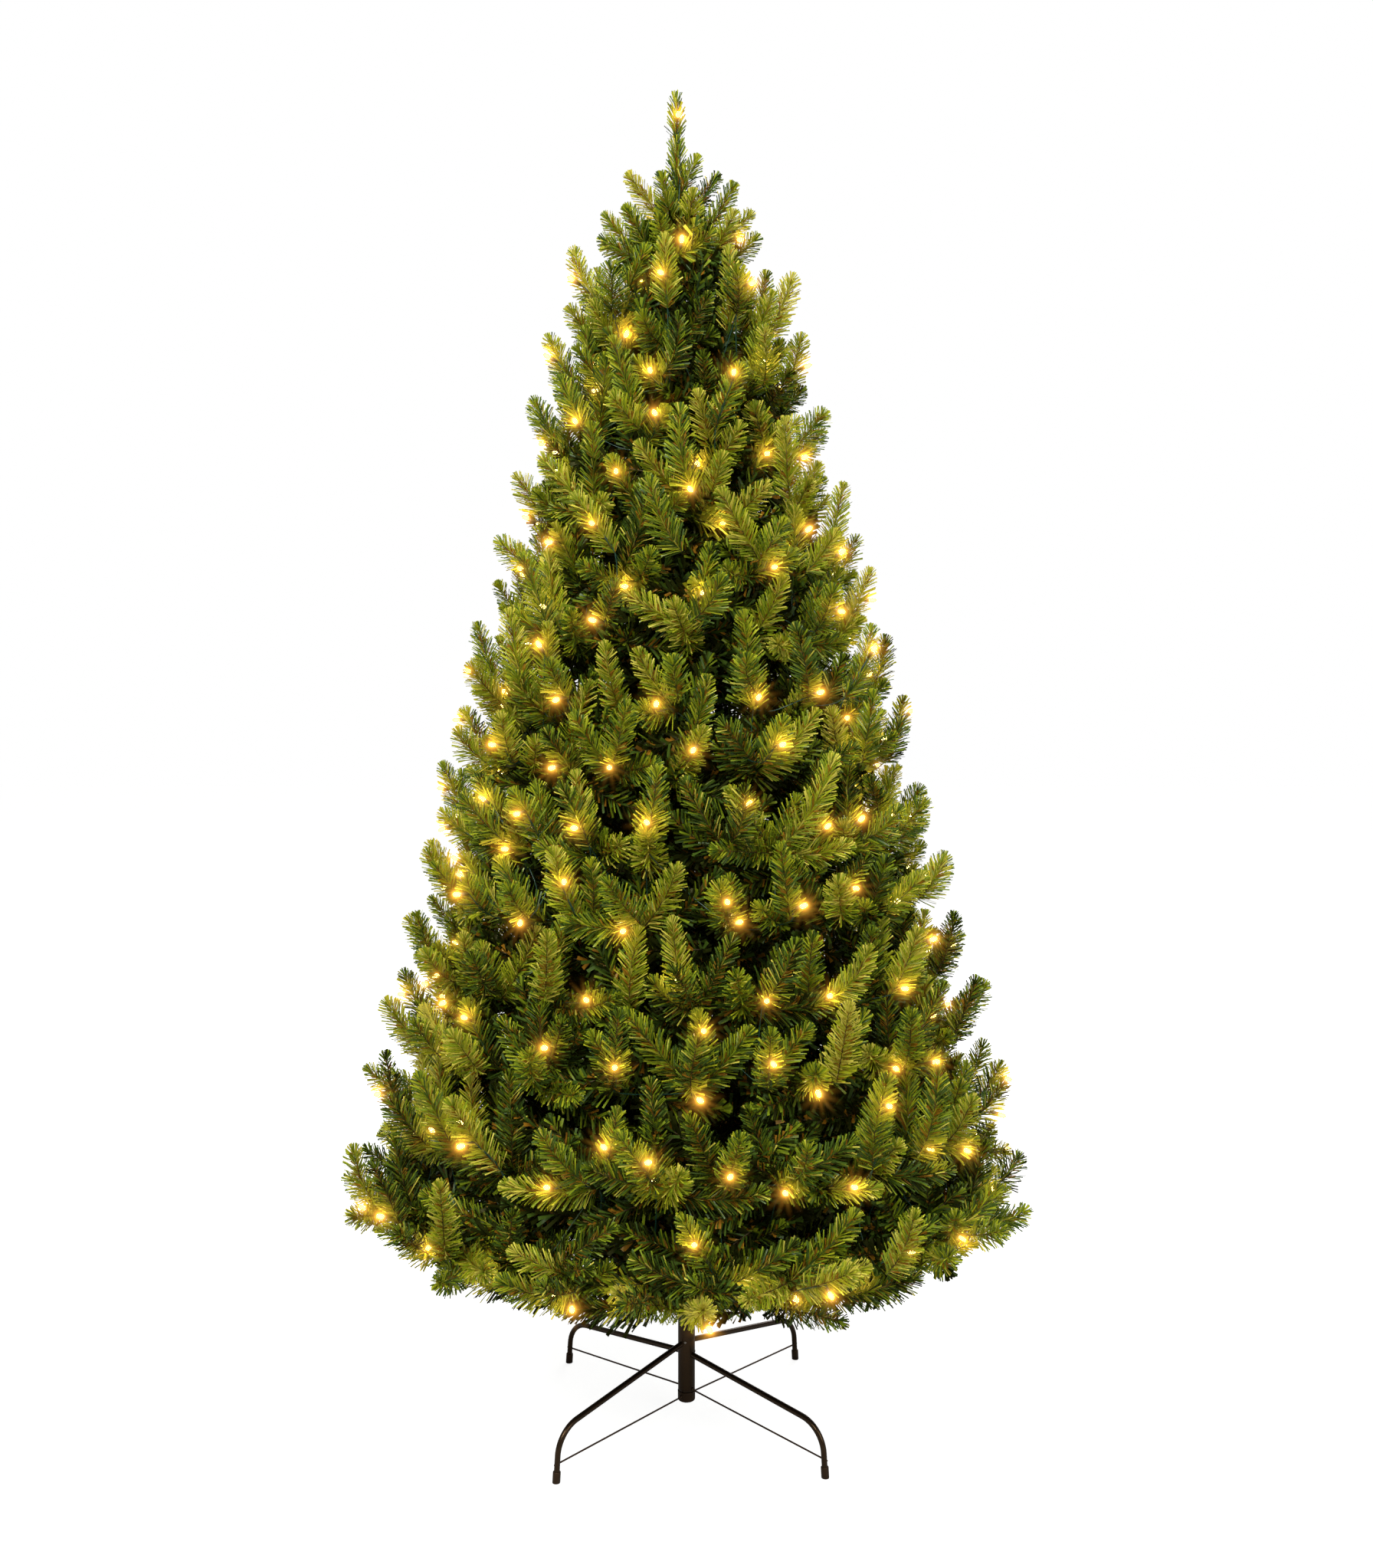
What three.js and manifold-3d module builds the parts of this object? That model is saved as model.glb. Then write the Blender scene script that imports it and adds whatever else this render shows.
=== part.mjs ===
// An artificial spruce Christmas tree on a steel stand of four bent legs.
// Millimetres, +Z up. The origin is on the floor, under the middle of the pole.
// A straight pole stands in the socket of the stand. Masses of needle tips stand round the pole in
// rising tiers. Each mass is one stem, a smaller core and the sprays of needles that stand out of it,
// and it keeps to its own tier and sector. A leader tops the pole.
import * as THREE from "three";
import { mergeVertices } from "three/addons/utils/BufferGeometryUtils.js";
import Module from "manifold-3d";

const wasm = await Module();
wasm.setup();

// Whole tree
const TREE_HEIGHT = 2286;
const GAP = 0.3;
const TOP_LEAN = -18;
const LEAN_FROM_Z = 400;
const LEAN_POWER = 1.3;

// Outline of the crown: a hem that curves in, a straight cone and a round shoulder
const CROWN_RADIUS = 588;
const WIDEST_Z = 420;
const HEM_Z = 305;
const HEM_POWER = 3;
const CROWN_TAPER = 0.262;
const SHOULDER_Z = 1990;
const SHOULDER_POWER = 1.4;
const CROWN_TOP_Z = 2200;

// Rise of the branches: nearly level at the hem and steep at the top
const HEM_ATTACH_Z = 283;
const TOP_ATTACH_Z = 2130;
const RISE_AT_HEM = 0.12;
const RISE_PER_MM = 0.0006;

// Tiers of masses, from the hem up: where each ends on the outline, and its sectors
const TIERS = [
  { name: "hem", outlineTop: 640, sectors: 7 },
  { name: "skirt", outlineTop: 880, sectors: 6 },
  { name: "lower", outlineTop: 1110, sectors: 6 },
  { name: "waist", outlineTop: 1335, sectors: 5 },
  { name: "middle", outlineTop: 1550, sectors: 5 },
  { name: "upper", outlineTop: 1760, sectors: 4 },
  { name: "neck", outlineTop: 1955, sectors: 3 },
  { name: "crown", outlineTop: CROWN_TOP_Z, sectors: 3 },
];
const FIRST_TURN = 0.25;
const TIER_TURN = 0.382;

// Sprays of needles
const CELL_WIDTH = 122;
const CELL_HEIGHT = 128;
const SPRAY_LENGTH = 190;
const SHORTEST_SPRAY = 120;
const SPRAY_SHARE_OF_RADIUS = 0.6;
const NEEDLE_SPAN = 0.64;
const NEEDLE_REACH = 0.3;
const NEEDLE_ROOT = 0.1;
const NEEDLE_SWEEP = 0.17;
const NEEDLE_RINGS = 3;
const NEEDLES_PER_RING = 2;
const NEEDLE_TAPER = 0.35;
const TIP_SHARE = 0.6;
const SHORTEST_REACH = 0.94;
const ROOT_DEPTH = 1.25;
const ROOT_SPREAD = 0.5;
const SPACE_MARGIN = 2.5;
const AXIS_CLEARANCE = 26;
const LAYING_TRIES = 8;
const SHRINK_TO_FIT = 0.075;
const WANDER = 0.1;
const SEEDS_PER_TIER = 1000;
const SEEDS_PER_MASS = 100;
const SEEDS_PER_ROW = 20;

// Stem and core of a mass
const STEM_RADIUS = 4.5;
const STEM_TIP_RADIUS = 3.6;
const STEM_SIDES = 4;
const CORE_SECTION = [[1, -1], [1, 1], [0, 1], [-1, 1], [-1, -1], [0, -1]];
const CORE_FILL_ACROSS = 0.88;
const CORE_FILL_UP = 0.8;
const CORE_RINGS = [
  { along: 0, fill: 0.3 },
  { along: 0.45, fill: 1 },
  { along: 0.84, fill: 0.8 },
];
const CORE_START = 40;
const SHORTEST_CORE = 30;
const CORE_SHORT_OF_TIPS = 0.62;

// Leader
const LEADER_RADIUS = 17;
const LEADER_CORE_RADIUS = 6;
const LEADER_RINGS = 5;
const LEADER_BARE_LENGTH = 12;

// Pole: three tubes pushed into each other, each thinner than the one below
const POLE_SECTIONS = [
  { radius: 12.5, top: 820 },
  { radius: 11, top: 1500 },
  { radius: 9.5, top: 2078 },
];
const POLE_STEP = 260;

// Stand
const SOCKET_RADIUS = 14.75;
const SOCKET_BOTTOM_Z = 46;
const SOCKET_TOP_Z = 240;
const END_CAP_RADIUS = 15.2;
const END_CAP_BOTTOM_Z = 28;
const END_CAP_ROUND = 3;
const STAND_TURN = THREE.MathUtils.degToRad(2);
const FOOT_CIRCLE = 305;
const LEG_RADIUS = 4.75;
const LEG_SIDES = 8;
const LEG_SPLAY = THREE.MathUtils.degToRad(4.5);
const LEG_CORNER_Z = 80;
const LEG_BEND_RADIUS = 50;
const LEG_STEPS = 9;
const LEG_END_Z = 3.5;
const UPPER_LEG_Z = 133;
const LOWER_LEG_Z = 113;
const FOOT_RADIUS = 6.4;
const FOOT_HEIGHT = 18;
const FOOT_FLOOR = 3.2;
const STAY_RADIUS = 1.5;
const STAY_LEG_Z = 29;
const UPPER_STAY_Z = 51;
const LOWER_STAY_Z = 37;
const ROUND_SIDES = 16;

const LEGS = [
  { name: "front_left", turn: 225, legZ: UPPER_LEG_Z, stayZ: LOWER_STAY_Z },
  { name: "front_right", turn: 315, legZ: LOWER_LEG_Z, stayZ: UPPER_STAY_Z },
  { name: "back_right", turn: 45, legZ: UPPER_LEG_Z, stayZ: LOWER_STAY_Z },
  { name: "back_left", turn: 135, legZ: LOWER_LEG_Z, stayZ: UPPER_STAY_Z },
];

const needles = new THREE.MeshStandardMaterial({ color: 0x4f6e22, roughness: 0.6, metalness: 0 });
const poleGreen = new THREE.MeshStandardMaterial({ color: 0x26331f, roughness: 0.5, metalness: 0.2 });
const standBlack = new THREE.MeshStandardMaterial({ color: 0x1d1b19, roughness: 0.35, metalness: 0.4 });
const rubber = new THREE.MeshStandardMaterial({ color: 0x161616, roughness: 0.8, metalness: 0 });

// A seeded stream of numbers from 0 to 1, the same on every run.
function stream(seed) {
  let state = (Math.imul(seed, 2654435761) + 12345) >>> 0;
  return () => {
    state = (Math.imul(state, 1664525) + 1013904223) >>> 0;
    return state / 4294967296;
  };
}

// Outline of the crown and spaces of the masses

// Furthest reach of the needles from the pole at a height.
function crownRadius(z) {
  if (z < WIDEST_Z) {
    const drop = Math.min(1, (WIDEST_Z - z) / (WIDEST_Z - HEM_Z));
    return CROWN_RADIUS * (1 - drop ** HEM_POWER) ** (1 / HEM_POWER);
  }
  const straight = CROWN_RADIUS - CROWN_TAPER * (Math.min(z, SHOULDER_Z) - WIDEST_Z);
  if (z < SHOULDER_Z) return straight;
  const rise = Math.min(1, (z - SHOULDER_Z) / (CROWN_TOP_Z - SHOULDER_Z));
  return straight * (1 - rise ** SHOULDER_POWER);
}

// Slope of a branch that leaves the pole at a height.
function riseAt(attach) {
  return RISE_AT_HEM + RISE_PER_MM * (attach - HEM_ATTACH_Z);
}

function heightOf(attach, radius) {
  return attach + radius * riseAt(attach);
}

// The height on the pole from which a branch reaches a point: the inverse of heightOf.
function attachOf(z, radius) {
  const level = RISE_AT_HEM - RISE_PER_MM * HEM_ATTACH_Z;
  return (z - radius * level) / (1 + radius * RISE_PER_MM);
}

// How far a branch from this height runs before it meets the outline.
function reachOf(attach) {
  let inside = 0;
  let outside = CROWN_RADIUS;
  for (let i = 0; i < 40; i++) {
    const middle = (inside + outside) / 2;
    if (crownRadius(heightOf(attach, middle)) > middle) inside = middle;
    else outside = middle;
  }
  return inside;
}

// A point given by its height on the pole, its radius and its turn about the pole.
function place(attach, radius, turn) {
  return new THREE.Vector3(
    radius * Math.cos(turn),
    radius * Math.sin(turn),
    heightOf(attach, radius),
  );
}

// The tree leans a little to the left near its top.
function leanOf(z) {
  const part = Math.max(0, z - LEAN_FROM_Z) / (TREE_HEIGHT - LEAN_FROM_Z);
  return TOP_LEAN * part ** LEAN_POWER;
}

function poleRadius(z) {
  return POLE_SECTIONS.find((section) => z < section.top)?.radius ?? POLE_SECTIONS.at(-1).radius;
}

function lean(geometry) {
  const position = geometry.attributes.position;
  for (let i = 0; i < position.count; i++) {
    position.setX(i, position.getX(i) + leanOf(position.getZ(i)));
  }
  return geometry;
}

// Solids

// A closed three.js geometry as a solid that can be joined and cut.
function solidOf(geometry) {
  const bare = new THREE.BufferGeometry();
  bare.setAttribute("position", geometry.attributes.position);
  bare.setIndex(geometry.index);
  const merged = mergeVertices(bare, 1e-4);
  const mesh = new wasm.Mesh({
    numProp: 3,
    vertProperties: merged.attributes.position.array,
    triVerts: new Uint32Array(merged.index.array),
  });
  return new wasm.Manifold(mesh);
}

function geometryOf(solid) {
  const mesh = solid.getMesh();
  const geometry = new THREE.BufferGeometry();
  geometry.setAttribute("position", new THREE.BufferAttribute(mesh.vertProperties, mesh.numProp));
  geometry.setIndex(new THREE.BufferAttribute(mesh.triVerts, 1));
  return geometry;
}

// The largest shell of a solid: a hollow that joining sealed is filled, and a loose scrap is dropped.
function outerShell(solid) {
  const shells = solid.decompose();
  return shells.reduce((largest, shell) => (shell.volume() > largest.volume() ? shell : largest));
}

// A closed skin from a start point through rings of equal count to an end point.
// Rings run anticlockwise about the way they follow each other. Where a quad joins two needle points
// its diagonal joins the two points between them, which keeps each needle sharp.
function loft(start, rings, end, isNeedle = () => false) {
  const count = rings[0].length;
  const points = [start, ...rings.flat(), end];
  const at = (ring, side) => 1 + ring * count + (side % count);
  const faces = [];
  for (let side = 0; side < count; side++) {
    faces.push([0, at(0, side + 1), at(0, side)]);
    faces.push([points.length - 1, at(rings.length - 1, side), at(rings.length - 1, side + 1)]);
    for (let ring = 0; ring + 1 < rings.length; ring++) {
      const quad = [at(ring, side), at(ring, side + 1), at(ring + 1, side + 1), at(ring + 1, side)];
      const [a, b, c, d] = quad;
      if (isNeedle(ring, side)) faces.push([a, b, d], [b, c, d]);
      else faces.push([a, b, c], [a, c, d]);
    }
  }
  const geometry = new THREE.BufferGeometry().setFromPoints(points);
  geometry.setIndex(faces.flat());
  return geometry;
}

// Two unit vectors square to a direction, so that the first cross the second is the direction.
function crossAxes(direction) {
  const guide = Math.abs(direction.z) < 0.9 ? new THREE.Vector3(0, 0, 1) : new THREE.Vector3(1, 0, 0);
  const across = new THREE.Vector3().crossVectors(guide, direction).normalize();
  const over = new THREE.Vector3().crossVectors(direction, across);
  return [across, over];
}

// A ring of points round a centre, each at its own radius and shift along the direction.
function ringOf(centre, direction, sides, radiusAt, shiftAt = () => 0, twist = 0) {
  const [across, over] = crossAxes(direction);
  return Array.from({ length: sides }, (_, side) => {
    const turn = twist + (2 * Math.PI * side) / sides;
    return centre
      .clone()
      .addScaledVector(across, radiusAt(side) * Math.cos(turn))
      .addScaledVector(over, radiusAt(side) * Math.sin(turn))
      .addScaledVector(direction, shiftAt(side));
  });
}

// Sprays of needles

// A slim core from root to tip, with rings of needles that sweep forward along its outer span.
function sprayGeometry(root, tip, span, { reach, inner, sweep, rings, twist }) {
  const direction = tip.clone().sub(root).normalize();
  const sides = 2 * NEEDLES_PER_RING;
  const isPoint = (ring, side) => (ring + side) % 2 === 0;
  const stations = Array.from({ length: rings }, (_, ring) => {
    const back = span * (1 - ring / (rings + TIP_SHARE));
    const fullness = 1 - NEEDLE_TAPER * (ring / rings) ** 2;
    const centre = tip.clone().addScaledVector(direction, -back);
    const radiusAt = (side) => (isPoint(ring, side) ? reach : inner) * fullness;
    const shiftAt = (side) => (isPoint(ring, side) ? sweep : 0);
    return ringOf(centre, direction, sides, radiusAt, shiftAt, twist);
  });
  return loft(root, stations, tip, isPoint);
}

// True if every point keeps to the mass's tier and sector and clear of the pole and the leader.
function keepsToSpace(geometry, space) {
  const point = new THREE.Vector3();
  const position = geometry.attributes.position;
  for (let i = 0; i < position.count; i++) {
    point.fromBufferAttribute(position, i);
    const radius = Math.hypot(point.x, point.y);
    const turn = Math.atan2(point.y, point.x) - space.turn;
    const aside = Math.abs(Math.atan2(Math.sin(turn), Math.cos(turn)));
    const attach = attachOf(point.z, radius);
    if (radius < AXIS_CLEARANCE) return false;
    if (radius * Math.sin(space.halfTurn - aside) < SPACE_MARGIN) return false;
    if (attach < space.bottom + SPACE_MARGIN || attach > space.top - SPACE_MARGIN) return false;
  }
  return true;
}

// Where a spray stands across a space, from -1 to 1: evenly, and as near the edges as its needles allow.
function standing(index, count, size, reach) {
  if (count === 1) return 0;
  return (1 - (2 * reach) / size) * ((2 * index) / (count - 1) - 1);
}

// The spray of one cell of a mass, or null where none fits.
function laySpray(space, row, rows, column, columns) {
  const random = stream(space.seed + SEEDS_PER_ROW * row + column);
  for (let attempt = 0; attempt < LAYING_TRIES; attempt++) {
    const calm = 1 - attempt / LAYING_TRIES;
    const length = sprayLength(space);
    const reach = length * (NEEDLE_REACH - SHRINK_TO_FIT * (1 - calm));
    const clear = reach + 2 * SPACE_MARGIN;
    const up = standing(row, rows, space.height, clear) + (random() - 0.5) * WANDER * calm;
    const attach = space.middle + up * space.halfHeight;
    const outline = reachOf(attach);
    const width = 2 * outline * Math.sin(space.halfTurn);
    const aside = standing(column, columns, width, clear) + (random() - 0.5) * WANDER * calm;
    const tipRadius = outline * (SHORTEST_REACH + (1 - SHORTEST_REACH) * random());
    const tip = place(attach, tipRadius, space.turn + aside * space.halfTurn);
    const spread = hasCore(space) ? ROOT_SPREAD : 0;
    const rootRadius = Math.max(AXIS_CLEARANCE + STEM_RADIUS, tipRadius - ROOT_DEPTH * length);
    const rootAttach = space.middle + up * space.halfHeight * spread;
    const root = place(rootAttach, rootRadius, space.turn + aside * space.halfTurn * spread);
    const geometry = sprayGeometry(root, tip, length * NEEDLE_SPAN, {
      reach,
      inner: length * NEEDLE_ROOT,
      sweep: length * NEEDLE_SWEEP,
      rings: NEEDLE_RINGS,
      twist: random() * Math.PI,
    });
    if (keepsToSpace(geometry, space)) return geometry;
  }
  return null;
}

// Masses

function sprayLength(space) {
  const share = reachOf(space.middle) * SPRAY_SHARE_OF_RADIUS;
  return THREE.MathUtils.clamp(share, SHORTEST_SPRAY, SPRAY_LENGTH);
}

function coreEnd(space) {
  return reachOf(space.middle) - CORE_SHORT_OF_TIPS * sprayLength(space);
}

// The top masses are too slim for a core, so their sprays grow from the stem itself.
function hasCore(space) {
  return coreEnd(space) > CORE_START + SHORTEST_CORE;
}

// The stem of a mass, from just clear of the pole to the middle of its core.
function stemGeometry(space) {
  const radius = poleRadius(space.middle) + GAP;
  const outer = 2 * CORE_START;
  const direction = new THREE.Vector3(Math.cos(space.turn), Math.sin(space.turn), 0);
  const ringAt = (at, size) =>
    ringOf(place(space.middle, at, space.turn), direction, STEM_SIDES, () => size);
  const start = place(space.middle, radius, space.turn);
  const end = place(space.middle, outer, space.turn);
  return loft(start, [ringAt(radius, STEM_RADIUS), ringAt(outer, STEM_TIP_RADIUS)], end);
}

// The smaller core inside a mass: a wedge of its space that narrows towards both ends.
function coreGeometry(space) {
  const rings = CORE_RINGS.map(({ along, fill }) =>
    CORE_SECTION.map(([aside, up]) => {
      const attach = space.middle + up * fill * CORE_FILL_UP * space.halfHeight;
      const turn = space.turn + aside * fill * CORE_FILL_ACROSS * space.halfTurn;
      return place(attach, CORE_START + along * (coreEnd(space) - CORE_START), turn);
    }),
  );
  const start = place(space.middle, CORE_START - STEM_RADIUS, space.turn);
  return loft(start, rings, place(space.middle, coreEnd(space), space.turn));
}

// One mass of foliage, joined into one solid.
function massSolid(space) {
  let solid = solidOf(stemGeometry(space));
  if (hasCore(space)) solid = solid.add(solidOf(coreGeometry(space)));
  const rows = Math.max(1, Math.round(space.height / CELL_HEIGHT));
  for (let row = 0; row < rows; row++) {
    const attach = space.bottom + ((space.top - space.bottom) * (row + 0.5)) / rows;
    const width = 2 * space.halfTurn * reachOf(attach);
    const columns = Math.max(1, Math.round(width / CELL_WIDTH));
    for (let column = 0; column < columns; column++) {
      const spray = laySpray(space, row, rows, column, columns);
      if (spray) solid = solid.add(solidOf(spray));
    }
  }
  return outerShell(solid);
}

// The spaces of all masses, tier by tier.
function massSpaces() {
  let bottom = HEM_ATTACH_Z;
  return TIERS.flatMap((tier, index) => {
    const last = index === TIERS.length - 1;
    const top = last ? TOP_ATTACH_Z : attachOf(tier.outlineTop, crownRadius(tier.outlineTop));
    const middle = (bottom + top) / 2;
    const outline = reachOf(middle);
    const space = {
      bottom,
      top,
      middle,
      halfHeight: (top - bottom) / 2,
      height: heightOf(top, outline) - heightOf(bottom, outline),
      halfTurn: Math.PI / tier.sectors,
    };
    bottom = top;
    return Array.from({ length: tier.sectors }, (_, sector) => ({
      ...space,
      name: `foliage_${tier.name}_${sector + 1}`,
      turn: (2 * Math.PI * (sector + FIRST_TURN + TIER_TURN * index)) / tier.sectors,
      seed: SEEDS_PER_TIER * (index + 1) + SEEDS_PER_MASS * sector,
    }));
  });
}

// The leader: an upright spray on top of the pole.
function leaderGeometry() {
  const poleTop = POLE_SECTIONS.at(-1).top;
  const root = new THREE.Vector3(0, 0, poleTop + GAP);
  const tip = new THREE.Vector3(0, 0, TREE_HEIGHT);
  return sprayGeometry(root, tip, TREE_HEIGHT - poleTop - LEADER_BARE_LENGTH, {
    reach: LEADER_RADIUS,
    inner: LEADER_CORE_RADIUS,
    sweep: LEADER_RADIUS,
    rings: LEADER_RINGS,
    twist: 0,
  });
}

// Pole and stand

// A round piece turned about the Z axis, from a profile of [radius, height] pairs.
function turned(profile, sides) {
  const points = profile.map(([radius, z]) => new THREE.Vector2(radius, z));
  return new THREE.LatheGeometry(points, sides).rotateX(Math.PI / 2);
}

function poleGeometry() {
  const profile = [[0, SOCKET_BOTTOM_Z]];
  let from = SOCKET_BOTTOM_Z;
  for (const { radius, top } of POLE_SECTIONS) {
    const steps = top > LEAN_FROM_Z ? Math.ceil((top - from) / POLE_STEP) : 1;
    for (let step = 0; step <= steps; step++) {
      profile.push([radius, from + ((top - from) * step) / steps]);
    }
    from = top;
  }
  profile.push([0, from]);
  return turned(profile, ROUND_SIDES);
}

function socketGeometry() {
  const inner = POLE_SECTIONS[0].radius + GAP;
  const profile = [
    [inner, SOCKET_BOTTOM_Z],
    [SOCKET_RADIUS, SOCKET_BOTTOM_Z],
    [SOCKET_RADIUS, SOCKET_TOP_Z],
    [inner, SOCKET_TOP_Z],
    [inner, SOCKET_BOTTOM_Z],
  ];
  return turned(profile, ROUND_SIDES);
}

function endCapGeometry() {
  const profile = [
    [0, END_CAP_BOTTOM_Z],
    [END_CAP_RADIUS - END_CAP_ROUND, END_CAP_BOTTOM_Z],
    [END_CAP_RADIUS, END_CAP_BOTTOM_Z + END_CAP_ROUND],
    [END_CAP_RADIUS, SOCKET_BOTTOM_Z - GAP],
    [0, SOCKET_BOTTOM_Z - GAP],
  ];
  return turned(profile, ROUND_SIDES);
}

// The middle line of a leg in its own upright plane: x is the distance from the pole.
function legPlan(legZ) {
  const foot = new THREE.Vector2(FOOT_CIRCLE, 0);
  const corner = new THREE.Vector2(FOOT_CIRCLE - LEG_CORNER_Z * Math.tan(LEG_SPLAY), LEG_CORNER_Z);
  const inward = new THREE.Vector2(0, legZ).sub(corner).normalize();
  const down = foot.clone().sub(corner).normalize();
  const turning = Math.PI - Math.acos(inward.dot(down));
  const tangent = LEG_BEND_RADIUS * Math.tan(turning / 2);
  const bendStart = corner.clone().addScaledVector(inward, tangent);
  const bendEnd = corner.clone().addScaledVector(down, tangent);
  const centre = corner
    .clone()
    .addScaledVector(inward.clone().add(down).normalize(), LEG_BEND_RADIUS / Math.cos(turning / 2));
  return { inner: new THREE.Vector2(0, legZ), bendStart, bendEnd, centre, turning, down };
}

// A leg's middle line. Its steps follow t, so that the bend takes most of them.
class LegLine extends THREE.Curve {
  constructor(legZ) {
    super();
    this.plan = legPlan(legZ);
    this.bendFrom = 1 / LEG_STEPS;
    this.bendTo = 1 - 1 / LEG_STEPS;
  }

  getPoint(t) {
    const { inner, bendStart, bendEnd, centre, turning, down } = this.plan;
    const end = bendEnd.clone().addScaledVector(down, (bendEnd.y - LEG_END_Z) / -down.y);
    let point;
    if (t <= this.bendFrom) point = inner.clone().lerp(bendStart, t / this.bendFrom);
    else if (t >= this.bendTo) point = bendEnd.clone().lerp(end, (t - this.bendTo) / (1 - this.bendTo));
    else {
      const share = (t - this.bendFrom) / (this.bendTo - this.bendFrom);
      point = bendStart.clone().rotateAround(centre, -turning * share);
    }
    return new THREE.Vector3(point.x, 0, point.y);
  }

  getPointAt(u) {
    return this.getPoint(u);
  }

  getTangentAt(u) {
    return this.getTangent(u);
  }
}

function circle(radius, sides) {
  const points = Array.from({ length: sides }, (_, side) => {
    const turn = (2 * Math.PI * side) / sides;
    return new THREE.Vector2(radius * Math.cos(turn), radius * Math.sin(turn));
  });
  return new THREE.Shape(points);
}

// A bent leg, cut round at its inner end so that it sits against the socket.
function legGeometry(legZ) {
  const line = new LegLine(legZ);
  const options = { steps: LEG_STEPS, extrudePath: line };
  const tube = new THREE.ExtrudeGeometry(circle(LEG_RADIUS, LEG_SIDES), options);
  const clear = [
    [0, 0],
    [SOCKET_RADIUS + GAP, 0],
    [SOCKET_RADIUS + GAP, SOCKET_TOP_Z],
    [0, SOCKET_TOP_Z],
  ];
  return geometryOf(solidOf(tube).subtract(solidOf(turned(clear, 2 * ROUND_SIDES))));
}

// A rubber cap round the end of a leg, cut flat at the floor.
function footGeometry() {
  const inner = LEG_RADIUS + GAP;
  const profile = [
    [0, -FOOT_RADIUS],
    [FOOT_RADIUS, -FOOT_RADIUS],
    [FOOT_RADIUS, FOOT_HEIGHT],
    [inner, FOOT_HEIGHT],
    [inner, FOOT_FLOOR],
    [0, FOOT_FLOOR],
  ];
  const cap = turned(profile, ROUND_SIDES).rotateY(-LEG_SPLAY).translate(FOOT_CIRCLE, 0, 0);
  const side = 4 * FOOT_RADIUS;
  const below = new THREE.BoxGeometry(side, side, side).translate(FOOT_CIRCLE, 0, -side / 2);
  return geometryOf(solidOf(cap).subtract(solidOf(below)));
}

// A straight wire from the socket or its end cap to the lower end of a leg.
function stayGeometry(stayZ) {
  const seat = stayZ > SOCKET_BOTTOM_Z ? SOCKET_RADIUS : END_CAP_RADIUS;
  const inner = new THREE.Vector3(seat + GAP, 0, stayZ);
  const legLine = FOOT_CIRCLE - STAY_LEG_Z * Math.tan(LEG_SPLAY);
  const outer = new THREE.Vector3(legLine - LEG_RADIUS / Math.cos(LEG_SPLAY) - GAP, 0, STAY_LEG_Z);
  const length = inner.distanceTo(outer);
  const tilt = Math.atan2(outer.z - inner.z, outer.x - inner.x);
  const middle = inner.clone().add(outer).divideScalar(2);
  return new THREE.CylinderGeometry(STAY_RADIUS, STAY_RADIUS, length, 8)
    .rotateZ(Math.PI / 2)
    .rotateY(-tilt)
    .translate(middle.x, middle.y, middle.z);
}

// Assembly

function named(name, geometry, material) {
  const mesh = new THREE.Mesh(geometry, material);
  mesh.name = name;
  return mesh;
}

function standGroup() {
  const stand = new THREE.Group();
  stand.add(named("stand_socket", socketGeometry(), standBlack));
  stand.add(named("stand_end_cap", endCapGeometry(), rubber));
  for (const leg of LEGS) {
    const arm = new THREE.Group();
    arm.rotation.z = THREE.MathUtils.degToRad(leg.turn) + STAND_TURN;
    arm.add(named(`stand_leg_${leg.name}`, legGeometry(leg.legZ), standBlack));
    arm.add(named(`stand_foot_${leg.name}`, footGeometry(), rubber));
    arm.add(named(`stand_stay_${leg.name}`, stayGeometry(leg.stayZ), standBlack));
    stand.add(arm);
  }
  return stand;
}

function crownGroup() {
  const crown = new THREE.Group();
  for (const space of massSpaces()) {
    crown.add(named(space.name, lean(geometryOf(massSolid(space))), needles));
  }
  crown.add(named("foliage_leader", lean(leaderGeometry()), needles));
  return crown;
}

const tree = new THREE.Group();
tree.add(named("trunk_pole", lean(poleGeometry()), poleGreen));
tree.add(standGroup());
tree.add(crownGroup());

export default tree;
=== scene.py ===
"""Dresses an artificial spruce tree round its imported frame.

The tree stands on a folding steel stand. Wire boughs leave a stepped pole and fork into twigs,
each twig ends in a fan of tips, and each tip is a brush of slit PVC needles bound in twisted wire.
Warm white lights are clipped to the tips. Everything is in metres, in the frame's own axes.
"""

import logging
import math
from collections.abc import Iterable, Iterator, Sequence
from dataclasses import dataclass, field
from enum import Enum

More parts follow.
